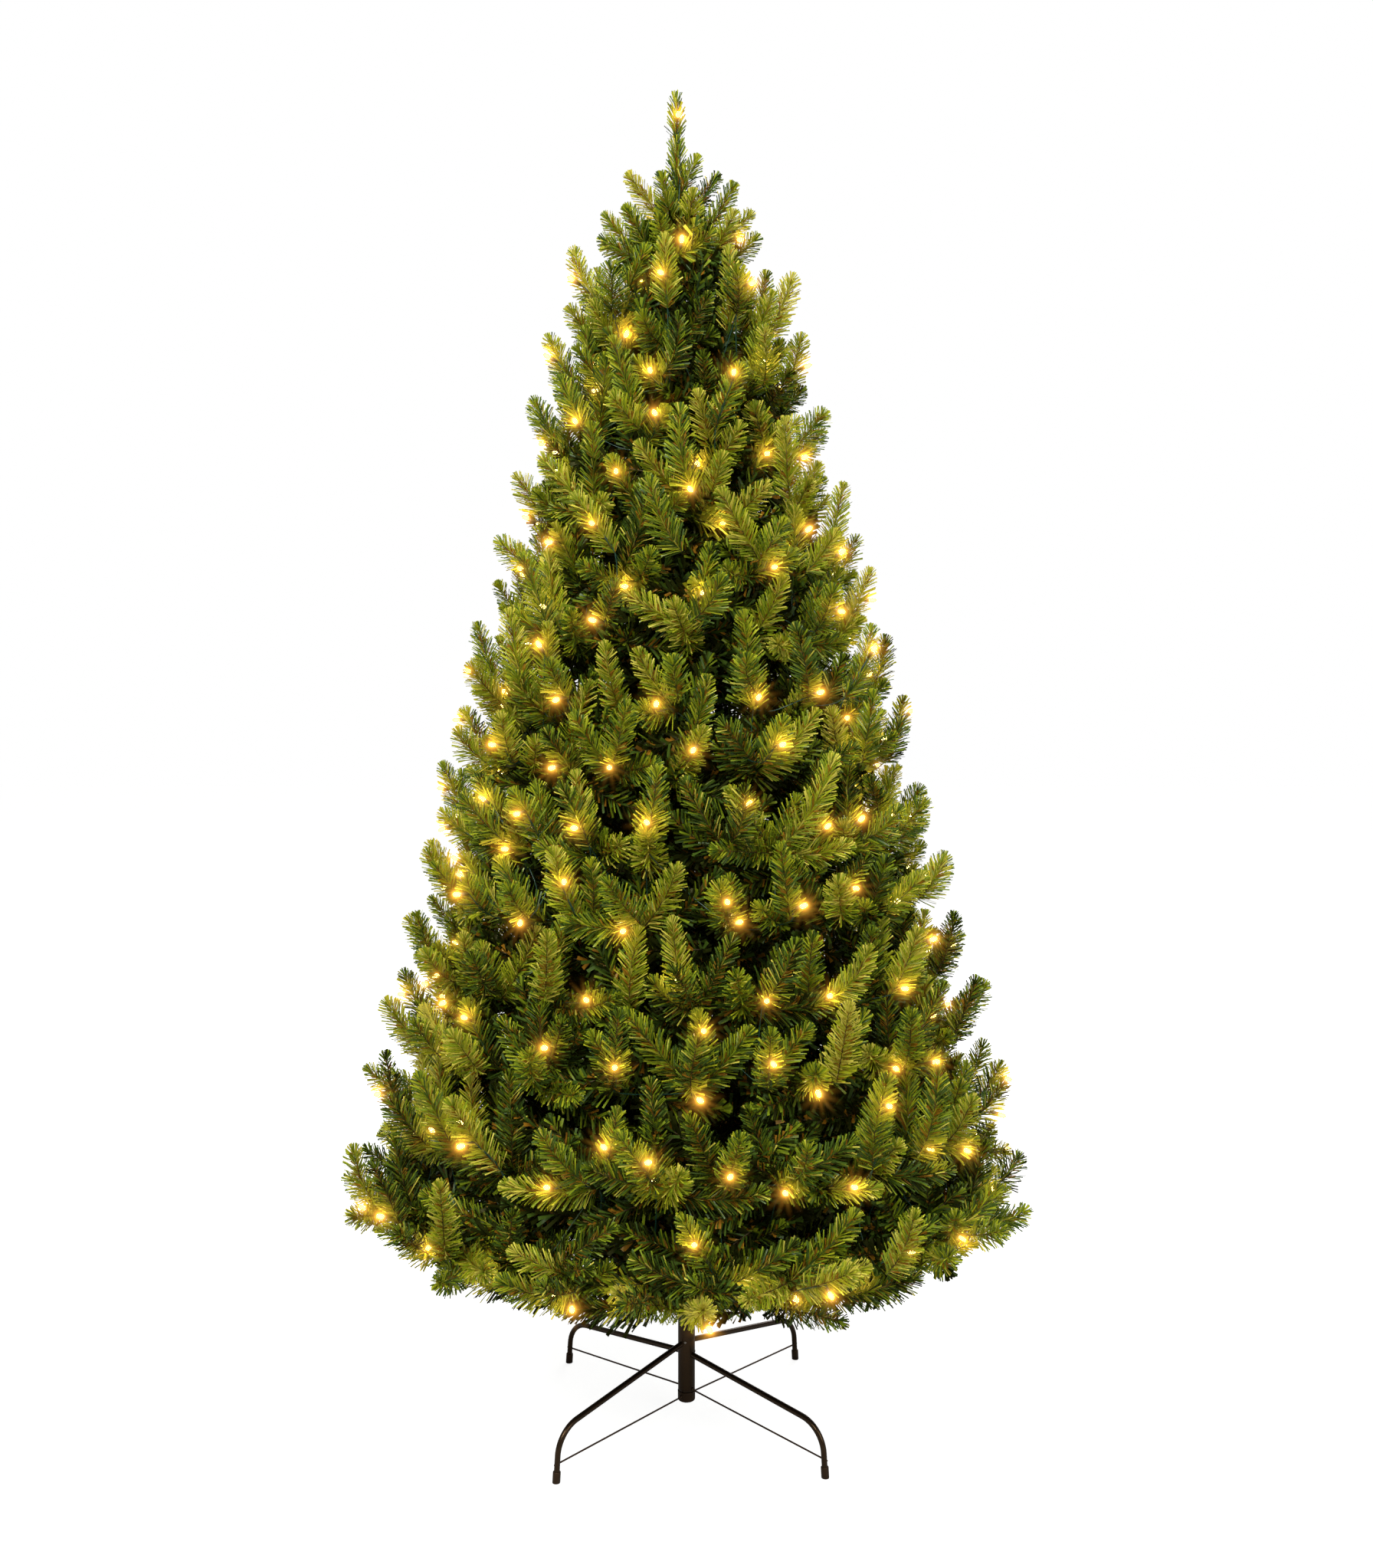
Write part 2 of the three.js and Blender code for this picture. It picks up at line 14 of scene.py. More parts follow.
import bpy
import numpy as np
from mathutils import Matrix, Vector

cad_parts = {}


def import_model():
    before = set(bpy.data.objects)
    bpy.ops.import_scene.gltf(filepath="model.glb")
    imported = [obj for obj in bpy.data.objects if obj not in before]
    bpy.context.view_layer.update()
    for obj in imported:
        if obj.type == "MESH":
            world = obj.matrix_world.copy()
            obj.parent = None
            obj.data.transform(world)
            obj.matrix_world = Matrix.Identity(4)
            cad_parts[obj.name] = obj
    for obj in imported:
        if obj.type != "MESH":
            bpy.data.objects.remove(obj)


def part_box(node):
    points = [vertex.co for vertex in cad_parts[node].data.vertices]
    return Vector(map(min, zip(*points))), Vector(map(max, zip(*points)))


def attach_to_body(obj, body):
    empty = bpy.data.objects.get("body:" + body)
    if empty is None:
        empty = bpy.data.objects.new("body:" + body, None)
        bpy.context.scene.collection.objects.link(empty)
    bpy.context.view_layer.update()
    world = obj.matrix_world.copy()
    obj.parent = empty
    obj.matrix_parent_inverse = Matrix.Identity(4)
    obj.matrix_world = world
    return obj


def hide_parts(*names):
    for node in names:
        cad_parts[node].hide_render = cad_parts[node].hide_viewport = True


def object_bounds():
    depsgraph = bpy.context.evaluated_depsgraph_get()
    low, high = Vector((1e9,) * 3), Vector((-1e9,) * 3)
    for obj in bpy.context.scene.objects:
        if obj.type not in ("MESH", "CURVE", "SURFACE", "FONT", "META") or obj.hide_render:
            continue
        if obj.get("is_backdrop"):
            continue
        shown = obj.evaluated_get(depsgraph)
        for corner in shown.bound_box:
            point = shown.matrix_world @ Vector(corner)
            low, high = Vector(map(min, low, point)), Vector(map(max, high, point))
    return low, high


log = logging.getLogger("spruce")

Array = np.ndarray
Draw = np.random.Generator
Mesh = bpy.types.Mesh
Material = bpy.types.Material
Node = bpy.types.Node
Socket = bpy.types.NodeSocket
Pair = tuple[float, float]
Triple = tuple[float, float, float]
Profile = list[Pair]

BODY = "root"
MM = 0.001
UP = np.array([0.0, 0.0, 1.0])
RIGHT = np.array([1.0, 0.0, 0.0])
TAU = 2.0 * math.pi
GOLDEN_ANGLE = math.pi * (3.0 - math.sqrt(5.0))
NEEDLE_HALF_WIDTH = 1.05 * MM


def linear(hex_colour: str) -> tuple[float, float, float, float]:
    """Turns an sRGB hex colour into linear red, green, blue and alpha.

    Args:
        hex_colour: Six hex digits after a hash sign.

    Returns:
        The four linear channels.
    """
    channels = [int(hex_colour[place : place + 2], 16) / 255.0 for place in (1, 3, 5)]
    straight = [c / 12.92 if c <= 0.04045 else ((c + 0.055) / 1.055) ** 2.4 for c in channels]
    return (straight[0], straight[1], straight[2], 1.0)


def feed(tree: bpy.types.NodeTree, node: Node, inputs: dict) -> None:
    """Gives a node its inputs, by name or by place.

    Args:
        tree: The node tree.
        node: The node.
        inputs: A constant, or another node's output socket, for each input.
    """
    for key, value in inputs.items():
        if isinstance(value, Socket):
            tree.links.new(value, node.inputs[key])
        else:
            node.inputs[key].default_value = value


def add_node(tree: bpy.types.NodeTree, kind: str, inputs: dict | None = None, **settings) -> Node:
    """Adds a node to a tree.

    Args:
        tree: The node tree.
        kind: The node's type name.
        inputs: Its inputs, as feed takes them.
        settings: The node's own properties.

    Returns:
        The new node.
    """
    node = tree.nodes.new(kind)
    for name, value in settings.items():
        setattr(node, name, value)
    feed(tree, node, inputs or {})
    return node


def add_object(name: str, data: bpy.types.ID) -> bpy.types.Object:
    """Puts a mesh, a lamp or a camera in the scene as an object."""
    thing = bpy.data.objects.new(name, data)
    bpy.context.scene.collection.objects.link(thing)
    return thing


def polar(turn: float, radius: float = 1.0, z: float = 0.0) -> Array:
    """Finds the point at an angle round the upright axis, at a radius and a height."""
    return np.array([radius * math.cos(turn), radius * math.sin(turn), z])


def off_axis(place: Array) -> float:
    """Finds how far a place lies from the upright axis."""
    return math.hypot(place[0], place[1])


def outwards(place: Array) -> Array:
    """Finds the level direction from the upright axis to a place."""
    return np.array([place[0], place[1], 0.0]) / off_axis(place)


def unit(vector: Array) -> Array:
    """Scales a vector, or each row of an array of vectors, to length one."""
    return vector / np.linalg.norm(vector, axis=-1, keepdims=True)


def across(forward: Array) -> tuple[Array, Array]:
    """Finds two directions square to a forward one.

    Args:
        forward: A unit vector, or an array with one in each row.

    Returns:
        The direction to the side, and the one that points most nearly up.
    """
    steep = np.abs(forward[..., 2:3]) > 0.98
    side = unit(np.cross(forward, np.where(steep, RIGHT, UP)))
    return side, np.cross(side, forward)


def bend(start: Array, middle: Array, end: Array, along: Array) -> Array:
    """Finds points, from 0 to 1 along, on a curve from start to end that middle pulls."""
    t = np.asarray(along)[:, None]
    return (1.0 - t) ** 2 * start + 2.0 * t * (1.0 - t) * middle + t**2 * end


def bend_direction(start: Array, middle: Array, end: Array, along: Array) -> Array:
    """Finds the unit direction of the same curve as bend, at each place along it."""
    t = np.asarray(along)[:, None]
    return unit((1.0 - t) * (middle - start) + t * (end - middle))


def smooth_path(points: Sequence[Array], steps: int) -> Array:
    """Rounds a chain of points into a smooth path through all of them.

    Args:
        points: The points to pass through.
        steps: How many points each stretch between two of them gets.

    Returns:
        The path, one point in each row.
    """
    chain = [2.0 * points[0] - points[1], *points, 2.0 * points[-1] - points[-2]]
    path = []
    for before, first, last, after in zip(chain, chain[1:], chain[2:], chain[3:]):
        for t in np.arange(steps) / steps:
            path.append(
                0.5
                * (
                    2.0 * first
                    + (last - before) * t
                    + (2.0 * before - 5.0 * first + 4.0 * last - after) * t**2
                    + (3.0 * first - before - 3.0 * last + after) * t**3
                )
            )
    return np.array([*path, points[-1]])


class SeededDraw:
    """The solids' own short random stream, so that each spray lies where its solid is."""

    def __init__(self, seed: int) -> None:
        """Starts the stream from a whole number."""
        self.state = (seed * 2654435761 + 12345) % 2**32

    def next(self) -> float:
        """Draws the next number, from 0 up to 1."""
        self.state = (self.state * 1664525 + 1013904223) % 2**32
        return self.state / 2**32


class Tint(Enum):
    """The plain colours that needles are dealt, by spray, in the order of a piece's slots."""

    # SHADE is painted shade: the crown's dark heart, put into the needles there.
    SHADE = 0
    DEEP = 1
    MID = 2
    FRESH = 3
    # PALE is the lightest tone, and on single outer needles a painted glint.
    PALE = 4
    BROWN = 5
    # The last two are painted light: a bulb's warm and gold glow on the needles round it.
    WARM = 6
    GOLD = 7


class DriftingColour:
    """The start of every finish: a plain colour that drifts a little, in patches of a real size."""

    def __init__(self, name: str, dark: str, light: str, patch: float, detail: float) -> None:
        """Makes the material.

        Args:
            name: Its name, for the real material and its making.
            dark: The darker colour.
            light: The lighter colour.
            patch: The size of the patches.
            detail: How broken their edges are.
        """
        self.material = bpy.data.materials.new(name)
        self.material.use_nodes = True
        self.tree = self.material.node_tree
        self.place = add_node(self.tree, "ShaderNodeTexCoord").outputs["Object"]
        self.drift = self.noise(patch, detail)
        ends = {0: self.drift, 6: linear(dark), 7: linear(light)}
        self.colour = add_node(self.tree, "ShaderNodeMix", ends, data_type="RGBA").outputs[2]

    def noise(self, patch: float, detail: float) -> Socket:
        """Adds a cloudy pattern with patches of a real size."""
        inputs = {"Vector": self.place, "Scale": 1.0 / patch, "Detail": detail}
        return add_node(self.tree, "ShaderNodeTexNoise", inputs).outputs[0]

    def finished(self, inputs: dict) -> Material:
        """Gives the shader its colour and its other inputs."""
        shader = self.tree.nodes["Principled BSDF"]
        feed(self.tree, shader, {"Base Color": self.colour, **inputs})
        return self.material


@dataclass(frozen=True)
class NeedleFinish:
    """Slit PVC film, printed green and cut into needles: satin, with a pale edge where it turns.

    The film is calendered, so it is smooth along the needle and catches a soft streak of light. Its
    sheen has a painted warm reflection tint, as warm as the lights round it, and the needles next
    to a light are painted with its light and glow themselves, though they are no lamps.
    """

    tint: Tint
    dark: str
    light: str
    # Painted light: needles next to a bulb glow, though they are no lamps.
    glow: float = 0.0
    glow_colour: str = "#ffe04e"
    roughness: float = 0.36
    ior: float = 1.53
    gloss: float = 0.28
    # Painted reflection: a warm tint on the film's reflections, for the warm lights.
    sheen: str = "#fff2b4"
    patch: float = 26.0 * MM

    def material(self) -> Material:
        """Makes the material: one plain colour that wanders a little from twig to twig."""
        name = f"pvc_film_{self.tint.name.lower()}"
        return DriftingColour(name, self.dark, self.light, self.patch, 1.0).finished(
            {
                "Roughness": self.roughness,
                "IOR": self.ior,
                "Specular IOR Level": self.gloss,
                "Specular Tint": linear(self.sheen),
                "Emission Color": linear(self.glow_colour),
                "Emission Strength": self.glow,
            }
        )


@dataclass(frozen=True)
class CoatFinish:
    """A coat on metal, or a moulding's skin: colour and gloss drift a little, as sprayed or cooled.

    Cloud is the size of that drift. Grain, relief and peel are the width, depth and strength of the
    orange peel that breaks a highlight's edge, drawn no finer than the picture can show.
    """

    name: str
    dark: str
    light: str
    roughness: float
    metallic: float = 0.0
    ior: float = 1.5
    coat: float = 0.0
    cloud: float = 30.0 * MM
    grain: float = 1.5 * MM
    relief: float = 0.04 * MM
    peel: float = 0.5
    rough_spread: float = 0.08
    sheen: str = "#ffffff"

    def material(self) -> Material:
        """Makes the material with its drift of colour, its uneven gloss and its relief."""
        base = DriftingColour(self.name, self.dark, self.light, self.cloud, 3.0)
        low, high = self.roughness - self.rough_spread, self.roughness + self.rough_spread
        gloss = {"Value": base.drift, "To Min": low, "To Max": high}
        grain = base.noise(self.grain, 2.0)
        bump = {"Height": grain, "Distance": self.relief, "Strength": self.peel}
        return base.finished(
            {
                "Roughness": add_node(base.tree, "ShaderNodeMapRange", gloss).outputs[0],
                "Normal": add_node(base.tree, "ShaderNodeBump", bump).outputs[0],
                "Metallic": self.metallic,
                "IOR": self.ior,
                "Coat Weight": self.coat,
                "Specular Tint": linear(self.sheen),
            }
        )


@dataclass(frozen=True)
class BulbFinish:
    """A clear moulded lens over a warm white diode: its whole body glows, amber at the rim."""

    dark: str = "#ffe9b8"
    light: str = "#fff1cf"
    glow: float = 26.0
    glow_colour: str = "#ffe08e"
    roughness: float = 0.12
    ior: float = 1.49
    patch: float = 1.0 / 220.0  # 4.5 mm

    def material(self) -> Material:
        """Makes the material of the lit lens."""
        base = DriftingColour("clear_lens_warm_white", self.dark, self.light, self.patch, 2.0)
        return base.finished(
            {
                "Roughness": self.roughness,
                "IOR": self.ior,
                "Emission Color": linear(self.glow_colour),
                "Emission Strength": self.glow,
            }
        )


@dataclass(frozen=True)
class Palette:
    """Every finish on the tree, made once."""

    # The greens run from the crown's heart, dark with painted shade, to its pale tips. The last two
    # are painted light: the glow of a light on the needles next to it.
    needles: tuple[NeedleFinish, ...] = (
        NeedleFinish(Tint.SHADE, "#1c2007", "#282d0b", gloss=0.08),
        NeedleFinish(Tint.DEEP, "#384e16", "#4a6020", gloss=0.18, sheen="#ffffff"),
        NeedleFinish(Tint.MID, "#6f8014", "#80911f", sheen="#fffbe6"),
        NeedleFinish(Tint.FRESH, "#959c1a", "#a9ae28"),
        NeedleFinish(Tint.PALE, "#bab03a", "#cec456"),
        NeedleFinish(Tint.BROWN, "#7c5210", "#9c6e1c"),
        NeedleFinish(Tint.WARM, "#8e9018", "#a4a422", glow=0.03),
        NeedleFinish(Tint.GOLD, "#c0b02a", "#d4c43e", glow=0.16),
    )
    # Film wound round a tip's wires: matt, with a ridge at each turn.
    bark: CoatFinish = CoatFinish(
        "brown_pvc_wrap", "#3a2c12", "#55401c", 0.55, grain=2.0 * MM, relief=0.3 * MM
    )
    # Dipped paint runs along the wire and dries uneven.
    bough: CoatFinish = CoatFinish("green_dipped_wire", "#1d2f14", "#2d431c", 0.5, relief=0.1 * MM)
    # Baked powder paint: a long soft highlight down the tube.
    pole: CoatFinish = CoatFinish("green_painted_steel", "#142414", "#1f331c", 0.38, coat=0.2)
    # Injection moulded: duller, and clouded where the melt cooled.
    collar: CoatFinish = CoatFinish(
        "green_moulded_plastic", "#1b2b16", "#27391d", 0.45, cloud=12.0 * MM
    )
    # Sprayed gloss enamel: the highlight down each leg is narrow, and its warmth is a painted
    # reflection tint.
    stand: CoatFinish = CoatFinish(
        "black_gloss_enamel_on_steel", "#120d0a", "#211811", 0.24, sheen="#ffcf9c"
    )
    # Drawn wire with a thin bronze finish: the metal still glints through it.
    stay: CoatFinish = CoatFinish("bronzed_steel_wire", "#3c2c22", "#5c4636", 0.42, metallic=0.6)
    # Soft moulding with the mould's fine texture: no sharp highlight, and a painted warm reflection
    # tint.
    rubber: CoatFinish = CoatFinish(
        "moulded_black_pvc", "#17100c", "#281c14", 0.5, relief=0.08 * MM, sheen="#ffcf9c"
    )
    # Bare plating: the brightest metal on the stand.
    rivet: CoatFinish = CoatFinish("plated_rivet", "#77706a", "#a39b93", 0.3, metallic=1.0)
    # Extruded cable sheath: smooth, with a thin line of light along it.
    wire: CoatFinish = CoatFinish("green_cable_pvc", "#123428", "#1d4a3c", 0.34, cloud=18.0 * MM)
    bulb: BulbFinish = BulbFinish()


@dataclass(frozen=True)
class Strand:
    """A round wire or tube along a path, with its radius at each point."""

    points: Array
    radii: Array


def even_strand(points: Array, start: float, end: float) -> Strand:
    """Makes a strand whose radius changes evenly from its first point to its last."""
    return Strand(points, np.linspace(start, end, len(points)))


def finish_piece(name: str, mesh: Mesh, nodes: Sequence[str] = ()) -> None:
    """Puts a finished mesh in the scene as a piece that rides on the tree.

    Args:
        name: The piece's name.
        mesh: Its mesh, in the frame's axes.
        nodes: The solids that it stands for.
    """
    piece = add_object(name, mesh)
    mesh.name = name
    if nodes:
        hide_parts(*nodes)
    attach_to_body(piece, BODY)
    mesh.calc_loop_triangles()
    log.info("%s: %d triangles", name, len(mesh.loop_triangles))


def corners_of(mesh: Mesh) -> Array:
    """Reads a mesh's corners, one in each row."""
    corners = np.zeros(len(mesh.vertices) * 3)
    mesh.vertices.foreach_get("co", corners)
    return corners.reshape(-1, 3)


def move_corners(mesh: Mesh, corners: Array) -> None:
    """Moves a mesh's corners to new places."""
    mesh.vertices.foreach_set("co", corners.astype(np.float32).ravel())
    mesh.update()


def turn_outwards(mesh: Mesh) -> None:
    """Flips every face of a closed mesh if, taken together, they point inwards."""
    mesh.calc_loop_triangles()
    faces = np.zeros(len(mesh.loop_triangles) * 3, dtype=np.int32)
    mesh.loop_triangles.foreach_get("vertices", faces)
    a, b, c = corners_of(mesh)[faces.reshape(-1, 3)].transpose(1, 0, 2)
    if np.einsum("ij,ij->i", a, np.cross(b, c)).sum() < 0.0:
        mesh.flip_normals()


def shade_smooth(mesh: Mesh) -> None:
    """Shades every face of a mesh smooth."""
    mesh.polygons.foreach_set("use_smooth", np.ones(len(mesh.polygons), dtype=bool))


class GrownTree:
    """A Geometry Nodes tree with named inputs, and the way to turn its result into a plain mesh."""

    def __init__(self, name: str, sizes: dict[str, float]) -> None:
        """Makes an empty tree.

        Args:
            name: The tree's name.
            sizes: The named inputs and their first values.
        """
        self.tree = bpy.data.node_groups.new(name, "GeometryNodeTree")
        faces = self.tree.interface
        faces.new_socket("Geometry", in_out="INPUT", socket_type="NodeSocketGeometry")
        for title, value in sizes.items():
            kind = "NodeSocketInt" if isinstance(value, int) else "NodeSocketFloat"
            faces.new_socket(title, in_out="INPUT", socket_type=kind).default_value = value
        faces.new_socket("Material", in_out="INPUT", socket_type="NodeSocketMaterial")
        faces.new_socket("Geometry", in_out="OUTPUT", socket_type="NodeSocketGeometry")
        self.given = self.tree.nodes.new("NodeGroupInput").outputs

    def node(self, kind: str, inputs: dict | None = None, **settings) -> Socket:
        """Adds a node to this tree and gives its first output."""
        return add_node(self.tree, kind, inputs, **settings).outputs[0]

    def mark(self, kind: str) -> Socket:
        """Reads what each point says, as a number or a vector."""
        return self.node("GeometryNodeInputNamedAttribute", {"Name": "mark"}, data_type=kind)

    def end(self, geometry: Socket) -> None:
        """Ends the tree: what was instanced is made real and takes the material."""
        real = self.node("GeometryNodeRealizeInstances", {0: geometry})
        material = {"Geometry": real, "Material": self.given["Material"]}
        painted = self.node("GeometryNodeSetMaterial", material)
        add_node(self.tree, "NodeGroupOutput", {0: painted})

    def grow(
        self, points: Array, edges: Array, marks: Array, material: Material, **sizes: float
    ) -> Mesh:
        """Runs the tree on a set of points.

        Args:
            points: The points to start from.
            edges: Pairs of points that are joined.
            marks: What each point says: how thick it is, or the way it aims.
            material: The material of the result.
            sizes: Values for the named inputs.

        Returns:
            A plain mesh, with its faces pointing outwards.
        """
        seeds = bpy.data.meshes.new("seeds")
        seeds.from_pydata(points.tolist(), edges.tolist(), [])
        kind, channel = ("FLOAT", "value") if marks.ndim == 1 else ("FLOAT_VECTOR", "vector")
        attribute = seeds.attributes.new("mark", kind, "POINT")
        attribute.data.foreach_set(channel, marks.astype(np.float32).ravel())
        carrier = add_object("carrier", seeds)
        modifier = carrier.modifiers.new("grow", "NODES")
        modifier.node_group = self.tree
        wanted = sizes | {"Material": material}
        for item in self.tree.interface.items_tree:
            if item.in_out == "INPUT" and item.name in wanted:
                modifier[item.identifier] = wanted[item.name]
        graph = bpy.context.evaluated_depsgraph_get()
        mesh = bpy.data.meshes.new_from_object(carrier.evaluated_get(graph))
        carrier.modifiers.clear()
        bpy.data.objects.remove(carrier)
        turn_outwards(mesh)
        return mesh


class TubeTree(GrownTree):
    """Sweeps a round section along every chain of edges, as thick as each point says."""

    def __init__(self) -> None:
        """Builds the tree: edges to curves, curves to closed tubes."""
        super().__init__("tubes_along_paths", {"Sides": 6})
        circle = {"Resolution": self.given["Sides"], "Radius": 1.0}
        tube = {
            "Curve": self.node("GeometryNodeMeshToCurve", {"Mesh": self.given["Geometry"]}),
            "Profile Curve": self.node("GeometryNodeCurvePrimitiveCircle", circle, mode="RADIUS"),
            "Scale": self.mark("FLOAT"),
            "Fill Caps": True,
        }
        self.end(self.node("GeometryNodeCurveToMesh", tube))

    def tubes(self, strands: Sequence[Strand], sides: int, material: Material) -> Mesh:
        """Makes one mesh of many closed tubes.

        Args:
            strands: The paths and their radii.
            sides: The number of sides of the section.
            material: The finish.

        Returns:
            The tubes, shaded smooth.
        """
        edges, first = [], 0
        for strand in strands:
            row = np.arange(first, first + len(strand.points) - 1)
            edges.append(np.stack([row, row + 1], axis=1))
            first += len(strand.points)
        points = np.concatenate([strand.points for strand in strands])
        radii = np.concatenate([strand.radii for strand in strands])
        mesh = self.grow(points, np.concatenate(edges), radii, material, Sides=sides)
        shade_smooth(mesh)
        return mesh


class SeatedShape(Enum):
    """A small closed shape, two units high: its node, its settings and whether it is smooth."""

    DROP = ("GeometryNodeMeshUVSphere", {"Segments": 8, "Rings": 6, "Radius": 1.0}, True)
    DOME = ("GeometryNodeMeshUVSphere", {"Segments": 16, "Rings": 10, "Radius": 1.0}, True)
    HUSK = (
        "GeometryNodeMeshCone",
        {"Vertices": 8, "Radius Top": 1.0, "Radius Bottom": 0.62, "Depth": 2.0},
        True,
    )
    RING = ("GeometryNodeMeshCylinder", {"Vertices": 28, "Radius": 1.0, "Depth": 2.0}, False)
    LUG = ("GeometryNodeMeshCube", {"Size": (2.0, 2.0, 2.0)}, False)


class SeatedTree(GrownTree):
    """Sets a small shape on every point, turned the way the point aims."""

    def __init__(self, shape: SeatedShape) -> None:
        """Builds the tree for one shape.

        Args:
            shape: The shape, which Radius, Length and Seat size and shift along its aim.
        """
        sizes = {"Radius": 1.0, "Length": 1.0, "Seat": 0.0}
        super().__init__(f"seated_{shape.name.lower()}", sizes)
        kind, settings, self.smooth = shape.value
        form = self.node(kind, settings)
        if shape is SeatedShape.HUSK:
            centred = {"Geometry": form, "Translation": (0.0, 0.0, -1.0)}
            form = self.node("GeometryNodeTransform", centred)
        radius = self.given["Radius"]
        half = self.node("ShaderNodeMath", {0: self.given["Length"], 1: 0.5}, operation="MULTIPLY")
        sized = {
            "Geometry": form,
            "Scale": self.node("ShaderNodeCombineXYZ", {"X": radius, "Y": radius, "Z": half}),
            "Translation": self.node("ShaderNodeCombineXYZ", {"Z": self.given["Seat"]}),
        }
        aim = {"Vector": self.mark("FLOAT_VECTOR")}
        seated = {
            "Points": self.given["Geometry"],
            "Instance": self.node("GeometryNodeTransform", sized),
            "Rotation": self.node("FunctionNodeAlignRotationToVector", aim, axis="Z"),
        }
        self.end(self.node("GeometryNodeInstanceOnPoints", seated))

    def seat(
        self,
        name: str,
        slot: str,
        points: Array,
        aims: Array,
        material: Material,
        size: Pair,
        shift: float = 0.0,
    ) -> None:
        """Sets the shape on points and finishes all the copies as one piece.

        Args:
            name: The piece's name.
            slot: Not used.
            points: Where each copy sits.
            aims: The way each copy points.
            material: The finish.
            size: The shape's radius and its length.
            shift: How far its middle lies beyond the point.
        """
        edges = np.empty((0, 2), dtype=int)
        radius, length = size
        mesh = self.grow(points, edges, aims, material, Radius=radius, Length=length, Seat=shift)
        if self.smooth:
            shade_smooth(mesh)
        finish_piece(name, mesh)


def lathe(profile: Profile, sides: int, material: Material) -> Mesh:
    """Turns a profile round the upright axis into a closed, smooth mesh.

    Args:
        profile: Radius and height of each point. The first and the last lie on the axis.
        sides: The number of sides.
        material: The finish.

    Returns:
        The mesh, with one vertex at each pole.
    """
    rings = profile[1:-1]
    turns = np.arange(sides) * TAU / sides
    vertices = [(0.0, 0.0, profile[0][1]), (0.0, 0.0, profile[-1][1])]
    for radius, height in rings:
        vertices.extend(tuple(polar(turn, radius, height)) for turn in turns)
    faces: list[tuple[int, ...]] = []
    last = 2 + (len(rings) - 1) * sides
    for side in range(sides):
        after = (side + 1) % sides
        faces.append((0, 2 + after, 2 + side))
        faces.append((1, last + side, last + after))
        for ring in range(len(rings) - 1):
            low = 2 + ring * sides
            faces.append((low + side, low + after, low + sides + after, low + sides + side))
    mesh = bpy.data.meshes.new("turned")
    mesh.from_pydata(vertices, [], faces)
    mesh.materials.append(material)
    shade_smooth(mesh)
    turn_outwards(mesh)
    return mesh


def round_corner(radius: float, height: float, size: float, first: float, last: float) -> Profile:
    """Rounds a corner of a turned profile from one angle to another, in degrees."""
    angles = np.radians(np.linspace(first, last, 6))
    return [(radius + size * math.cos(a), height + size * math.sin(a)) for a in angles]


class Tier(Enum):
    """A ring of foliage masses: the height of its outline's top, and its number of masses."""

    HEM = (0.640, 7)
    SKIRT = (0.880, 6)
    LOWER = (1.110, 6)
    WAIST = (1.335, 5)
    MIDDLE = (1.550, 5)
    UPPER = (1.760, 4)
    NECK = (1.955, 3)
    CROWN = (2.200, 3)

    @property
    def outline_top(self) -> float:
        """The height at which this tier's outline meets the next tier's."""
        return self.value[0]

    @property
    def sectors(self) -> int:
        """The number of masses round the pole."""
        return self.value[1]

    @property
    def word(self) -> str:
        """The tier's word in the names of nodes and pieces."""
        return self.name.lower()

    @property
    def parts(self) -> int:
        """The number of lots that its masses are dealt into."""
        return 2 if self in (Tier.HEM, Tier.SKIRT) else 1


@dataclass(frozen=True)
class Lot:
    """A lot of a tier's masses, whose needles are joined into one piece."""

    tier: Tier
    part: int = 0

    @classmethod
    def of(cls, tier: Tier, sector: int) -> "Lot":
        """Finds the lot that one of a tier's masses is in."""
        return cls(tier, sector * tier.parts // tier.sectors)

    @property
    def name(self) -> str:
        """The name of its piece."""
        number = f"_{self.part + 1}" if self.tier.parts > 1 else ""
        return f"needles_{self.tier.word}{number}"

    @property
    def nodes(self) -> list[str]:
        """The names of the solids that its piece stands for."""
        tier = self.tier
        sectors = [sector for sector in range(tier.sectors) if Lot.of(tier, sector) == self]
        return [f"foliage_{tier.word}_{sector + 1}" for sector in sectors]


